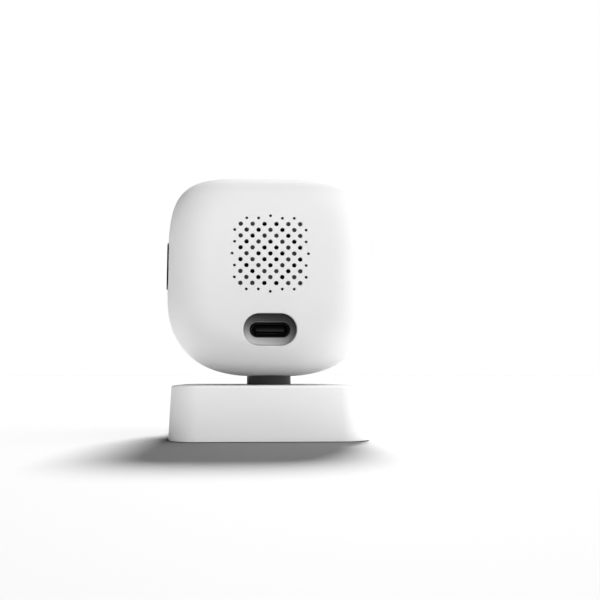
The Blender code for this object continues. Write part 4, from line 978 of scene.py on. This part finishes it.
def make_push_key():
    """Slim black key whose soft crown follows the head's side, and its flange behind the wall."""
    width, height = KEY_HIGH.y - KEY_LOW.y, KEY_HIGH.z - KEY_LOW.z
    flange_out = KEY_LOW.x + 0.8 * mm
    proud = 0.28 * mm

    def ring(offset, level=None, drop=0.0):
        points = pill(width + 2 * offset, height + 2 * offset)

        def place(number):
            y, z = KEY_CENTRE[0] + points[number][0], KEY_CENTRE[1] + points[number][1]
            return Vector((side_surface(y, z) + proud - drop if level is None else level, y, z))
        return place
    cap = -KEY_FLANGE
    crown = 0.3 * mm
    rings = [ring(0, KEY_LOW.x), ring(0, flange_out), ring(cap, flange_out)]
    rings += [ring(cap - out, None, into) for out, into in fillet_steps(crown, 6)]
    rings += [ring(cap - crown - step * mm) for step in (0.4, 0.8, 1.2, 1.6, 1.95)]
    bm, back, face = ring_chain(rings, outline_count())
    close_ring(bm, back)
    close_ring(bm, face)
    finished("push_key", bm, "key", "key_black", ["side_button"])


make_push_key()

# Neck -------------------------------------------------------------------------------------------


def make_neck():
    """Round neck with its flange and spigot, and the tongue that carries the tilt pin."""
    low, high = NECK_LOW.z, NECK_HIGH.z
    flange_radius = NECK_HIGH.x
    pin = middle_of("tilt_pin").z
    shoulder = HEAD_BOTTOM + 2.6 * mm
    flange_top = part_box("base_cover")[1].z - 1.9 * mm
    flange_bottom = flange_top - 1.5 * mm
    profile = [(0, shoulder), (NECK_RADIUS, shoulder), (NECK_RADIUS, flange_top), (flange_radius, flange_top),
               (flange_radius, flange_bottom), (3 * mm, flange_bottom), (3 * mm, low), (0, low)]
    stem = lathe(soften(profile, 0.3 * mm, 4, False), (0, 0, 0), "Z", 128)
    half, reach = 3.0 * mm, high - pin
    tongue = block((2 * half, 2 * reach, pin - shoulder + 0.5 * mm), (0, 0, (pin + shoulder - 0.5 * mm) / 2))
    crown = lathe([(0, -half), (reach, -half), (reach, half), (0, half)], (0, 0, pin), "X", 64)
    bm = cut(stem, cut(tongue, crown, "UNION"), "UNION")
    bore = 1.8 * mm
    bm = cut(bm, lathe([(0, -2 * half), (bore, -2 * half), (bore, 2 * half), (0, 2 * half)],
                       (0, 0, pin), "X", 48))
    finished("neck_post", bm, "neck", "neck_grey", ["neck_stem"])


make_neck()

# Base -------------------------------------------------------------------------------------------

BASE_LOW, BASE_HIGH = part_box("base_cover")
BASE_DRAFT = 0.5 * mm
BASE_CORNER = 7.0 * mm
BASE_WALL = 1.6 * mm
BASE_RIM = 0.7 * mm
BASE_CORNER_STEPS = 16
FLOOR_GAP = 0.12 * mm


def base_ring(level, inset):
    """Place of each vertex of the base's drafted square at one level."""
    lean = BASE_DRAFT * (level - BASE_LOW.z) / (BASE_HIGH.z - BASE_LOW.z)
    size = 2 * (BASE_HIGH.x - lean - inset)
    points = outline(size, size, max(BASE_CORNER - inset, 0.8 * mm), BASE_CORNER_STEPS)
    return lambda number: Vector((*points[number], level))


def make_base_shell():
    """Drafted square cover with round corners, a soft upper rim and a round hole for the neck."""
    ceiling = BASE_HIGH.z - BASE_WALL
    rings = [(BASE_HIGH.z - into, out) for out, into in reversed(fillet_steps(BASE_RIM, 6))]
    foot_edge = 0.15 * mm
    rings += [(FLOOR_GAP + foot_edge, 0), (FLOOR_GAP + foot_edge * 0.3, foot_edge * 0.3),
              (FLOOR_GAP, foot_edge), (FLOOR_GAP, 1 * mm), (BASE_LOW.z, 1.2 * mm), (BASE_LOW.z, BASE_WALL),
              (ceiling, BASE_WALL)]
    bm, top, inside = ring_chain([base_ring(level, inset) for level, inset in rings],
                                 outline_count(BASE_CORNER_STEPS))
    close_ring(bm, top, 0.6 * mm)
    close_ring(bm, inside)
    edge = 0.25 * mm
    radius = NECK_RADIUS + 0.15 * mm
    profile = [(0, ceiling - CLEAR), (radius, ceiling - CLEAR)]
    profile += [(radius + out, BASE_HIGH.z - into) for out, into in fillet_steps(edge, 4, FLARE_ARC)]
    profile += [(radius + edge * FLARE_PAST, BASE_HIGH.z + CLEAR), (0, BASE_HIGH.z + CLEAR)]
    bm = cut(bm, lathe(profile, (0, 0, 0), "Z", 96))
    return finished("base_shell", bm, "base", "white_shell", ["base_cover"])


base_shell = make_base_shell()


def make_foot():
    """Rubber foot pad with rounded edges and moulded grip rings underneath."""
    low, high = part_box("foot_pad")
    half = high.x
    corner = 3.6 * mm
    corner_steps = 12
    edge = 0.2 * mm

    def ring(level, inset):
        side = 2 * (half - inset)
        points = outline(side, side, max(corner - inset, 0.4 * mm), corner_steps)
        return lambda number: Vector((*points[number], level))
    rings = [ring(high.z, 0), ring(low.z + edge, 0), ring(low.z + 0.3 * edge, 0.3 * edge), ring(low.z, edge)]
    groove = 0.15 * mm
    for k in range(4):
        start = (1.5 + 1.6 * k) * mm
        rings += [ring(low.z, start), ring(low.z + groove, start + groove),
                  ring(low.z + groove, start + 0.55 * mm), ring(low.z, start + 0.7 * mm)]
    bm, top, under = ring_chain(rings, outline_count(corner_steps))
    close_ring(bm, top)
    close_ring(bm, under)
    finished("foot_mat", bm, "base", "black_rubber", ["foot_pad"])


make_foot()

# Room, light and camera -------------------------------------------------------------------------


SURROUND = {"even": 0.37, "X": -1.06, "Y": 0.32, "Z": -0.05}
SURROUND_LIMIT = 0.9
KEY_ENERGY = 1.0
FLOOR_KEY_ENERGY = 14.0
BASE_FILL_ENERGY = 0.88
FLOOR_BOUNCE = grey(0.34)
FLOOR_HALF = 30.0
KEY_SOFTNESS = math.radians(16)
KEY_FROM = (-0.12, -0.66, 0.74)
BASE_FILL_FROM = (0, 1, 0.2)
TOP_ENERGY = 1.45
TOP_SOFTNESS = math.radians(45)
TOP_FROM = (-0.45, 0.15, 0.88)


def make_floor():
    """Wide pale floor under the foot pad."""
    bm = bmesh.new()
    bmesh.ops.create_grid(bm, x_segments=1, y_segments=1, size=FLOOR_HALF)
    mesh = bpy.data.meshes.new("studio_floor")
    bm.to_mesh(mesh)
    bm.free()
    made, tree, shader, where = start_finish("studio_white", Roughness=0.9, Specular_IOR_Level=0.1)
    cloud = tree.add("TexNoise", {"Vector": where, "Scale": 3.0, "Detail": 2.0}).outputs["Fac"]
    seen = blended(tree, cloud, grey(0.2), grey(0.215))
    bounced = blended(tree, tree.add("LightPath").outputs["Is Camera Ray"], FLOOR_BOUNCE, seen)
    tree.tree.links.new(bounced, shader.inputs["Base Color"])
    mesh.materials.append(made)
    floor = bpy.data.objects.new("studio_floor", mesh)
    bpy.context.scene.collection.objects.link(floor)
    return floor


def make_light(only_on):
    """Soft surround, brighter to one side, with soft lamps above; some light only the pieces named."""
    world = bpy.data.worlds.new("studio")
    world.use_nodes = True
    bpy.context.scene.world = world
    tree = Tree(world.node_tree)
    surround = world.node_tree.nodes["Background"]
    surround.inputs["Color"].default_value = (1, 1, 1, 1)
    way = tree.add("TexCoord").outputs["Generated"]
    parts = tree.add("SeparateXYZ", {"Vector": way}).outputs
    level = SURROUND["even"]
    for axis in "XYZ":
        level = tree.add("Math", {0: parts[axis], 1: SURROUND[axis], 2: level},
                         operation="MULTIPLY_ADD").outputs[0]
    level = tree.add("Math", {0: level, 1: 0.0}, operation="MAXIMUM").outputs[0]
    level = tree.add("Math", {0: level, 1: SURROUND_LIMIT}, operation="MINIMUM").outputs[0]
    world.node_tree.links.new(level, surround.inputs["Strength"])
    white = tree.add("Background", {"Color": (1, 1, 1, 1), "Strength": 1.0})
    seen = tree.add("LightPath").outputs["Is Camera Ray"]
    mix = tree.add("MixShader", {0: seen, 1: surround.outputs[0], 2: white.outputs[0]})
    world.node_tree.links.new(mix.outputs[0], world.node_tree.nodes["World Output"].inputs["Surface"])

    for name, energy, softness, source in (("key", KEY_ENERGY, KEY_SOFTNESS, KEY_FROM),
                                           ("floor_key", FLOOR_KEY_ENERGY, KEY_SOFTNESS, KEY_FROM),
                                           ("base_fill", BASE_FILL_ENERGY, TOP_SOFTNESS, BASE_FILL_FROM),
                                           ("top", TOP_ENERGY, TOP_SOFTNESS, TOP_FROM)):
        light = bpy.data.lights.new(name, "SUN")
        light.energy = energy
        light.angle = softness
        lamp = bpy.data.objects.new(name, light)
        lamp.rotation_euler = Vector(source).to_track_quat("Z", "Y").to_euler()
        bpy.context.scene.collection.objects.link(lamp)
        if name in only_on:
            lit = bpy.data.collections.new("lit_by_" + name)
            lit.objects.link(only_on[name])
            lamp.light_linking.receiver_collection = lit


def make_camera():
    """Camera just above the base's top, behind the object, looking slightly up."""
    lens = bpy.data.cameras.new("view")
    lens.lens = 48.0
    lens.sensor_width = 36.0
    lens.clip_start = 0.01
    view = bpy.data.objects.new("view", lens)
    around = math.radians(0.6)
    distance = 210 * mm
    eye_level = BASE_HIGH.z + 2.3 * mm
    view.location = (distance * math.sin(around), distance * math.cos(around), eye_level)
    pitch = math.radians(5.40)
    aside = math.radians(2.22)
    turn = math.pi - around - aside
    view.rotation_euler = (math.radians(90) + pitch, 0, turn)
    bpy.context.scene.collection.objects.link(view)
    bpy.context.scene.camera = view


make_light({"floor_key": make_floor(), "base_fill": base_shell})
make_camera()
bpy.context.scene.view_settings.view_transform = "Standard"
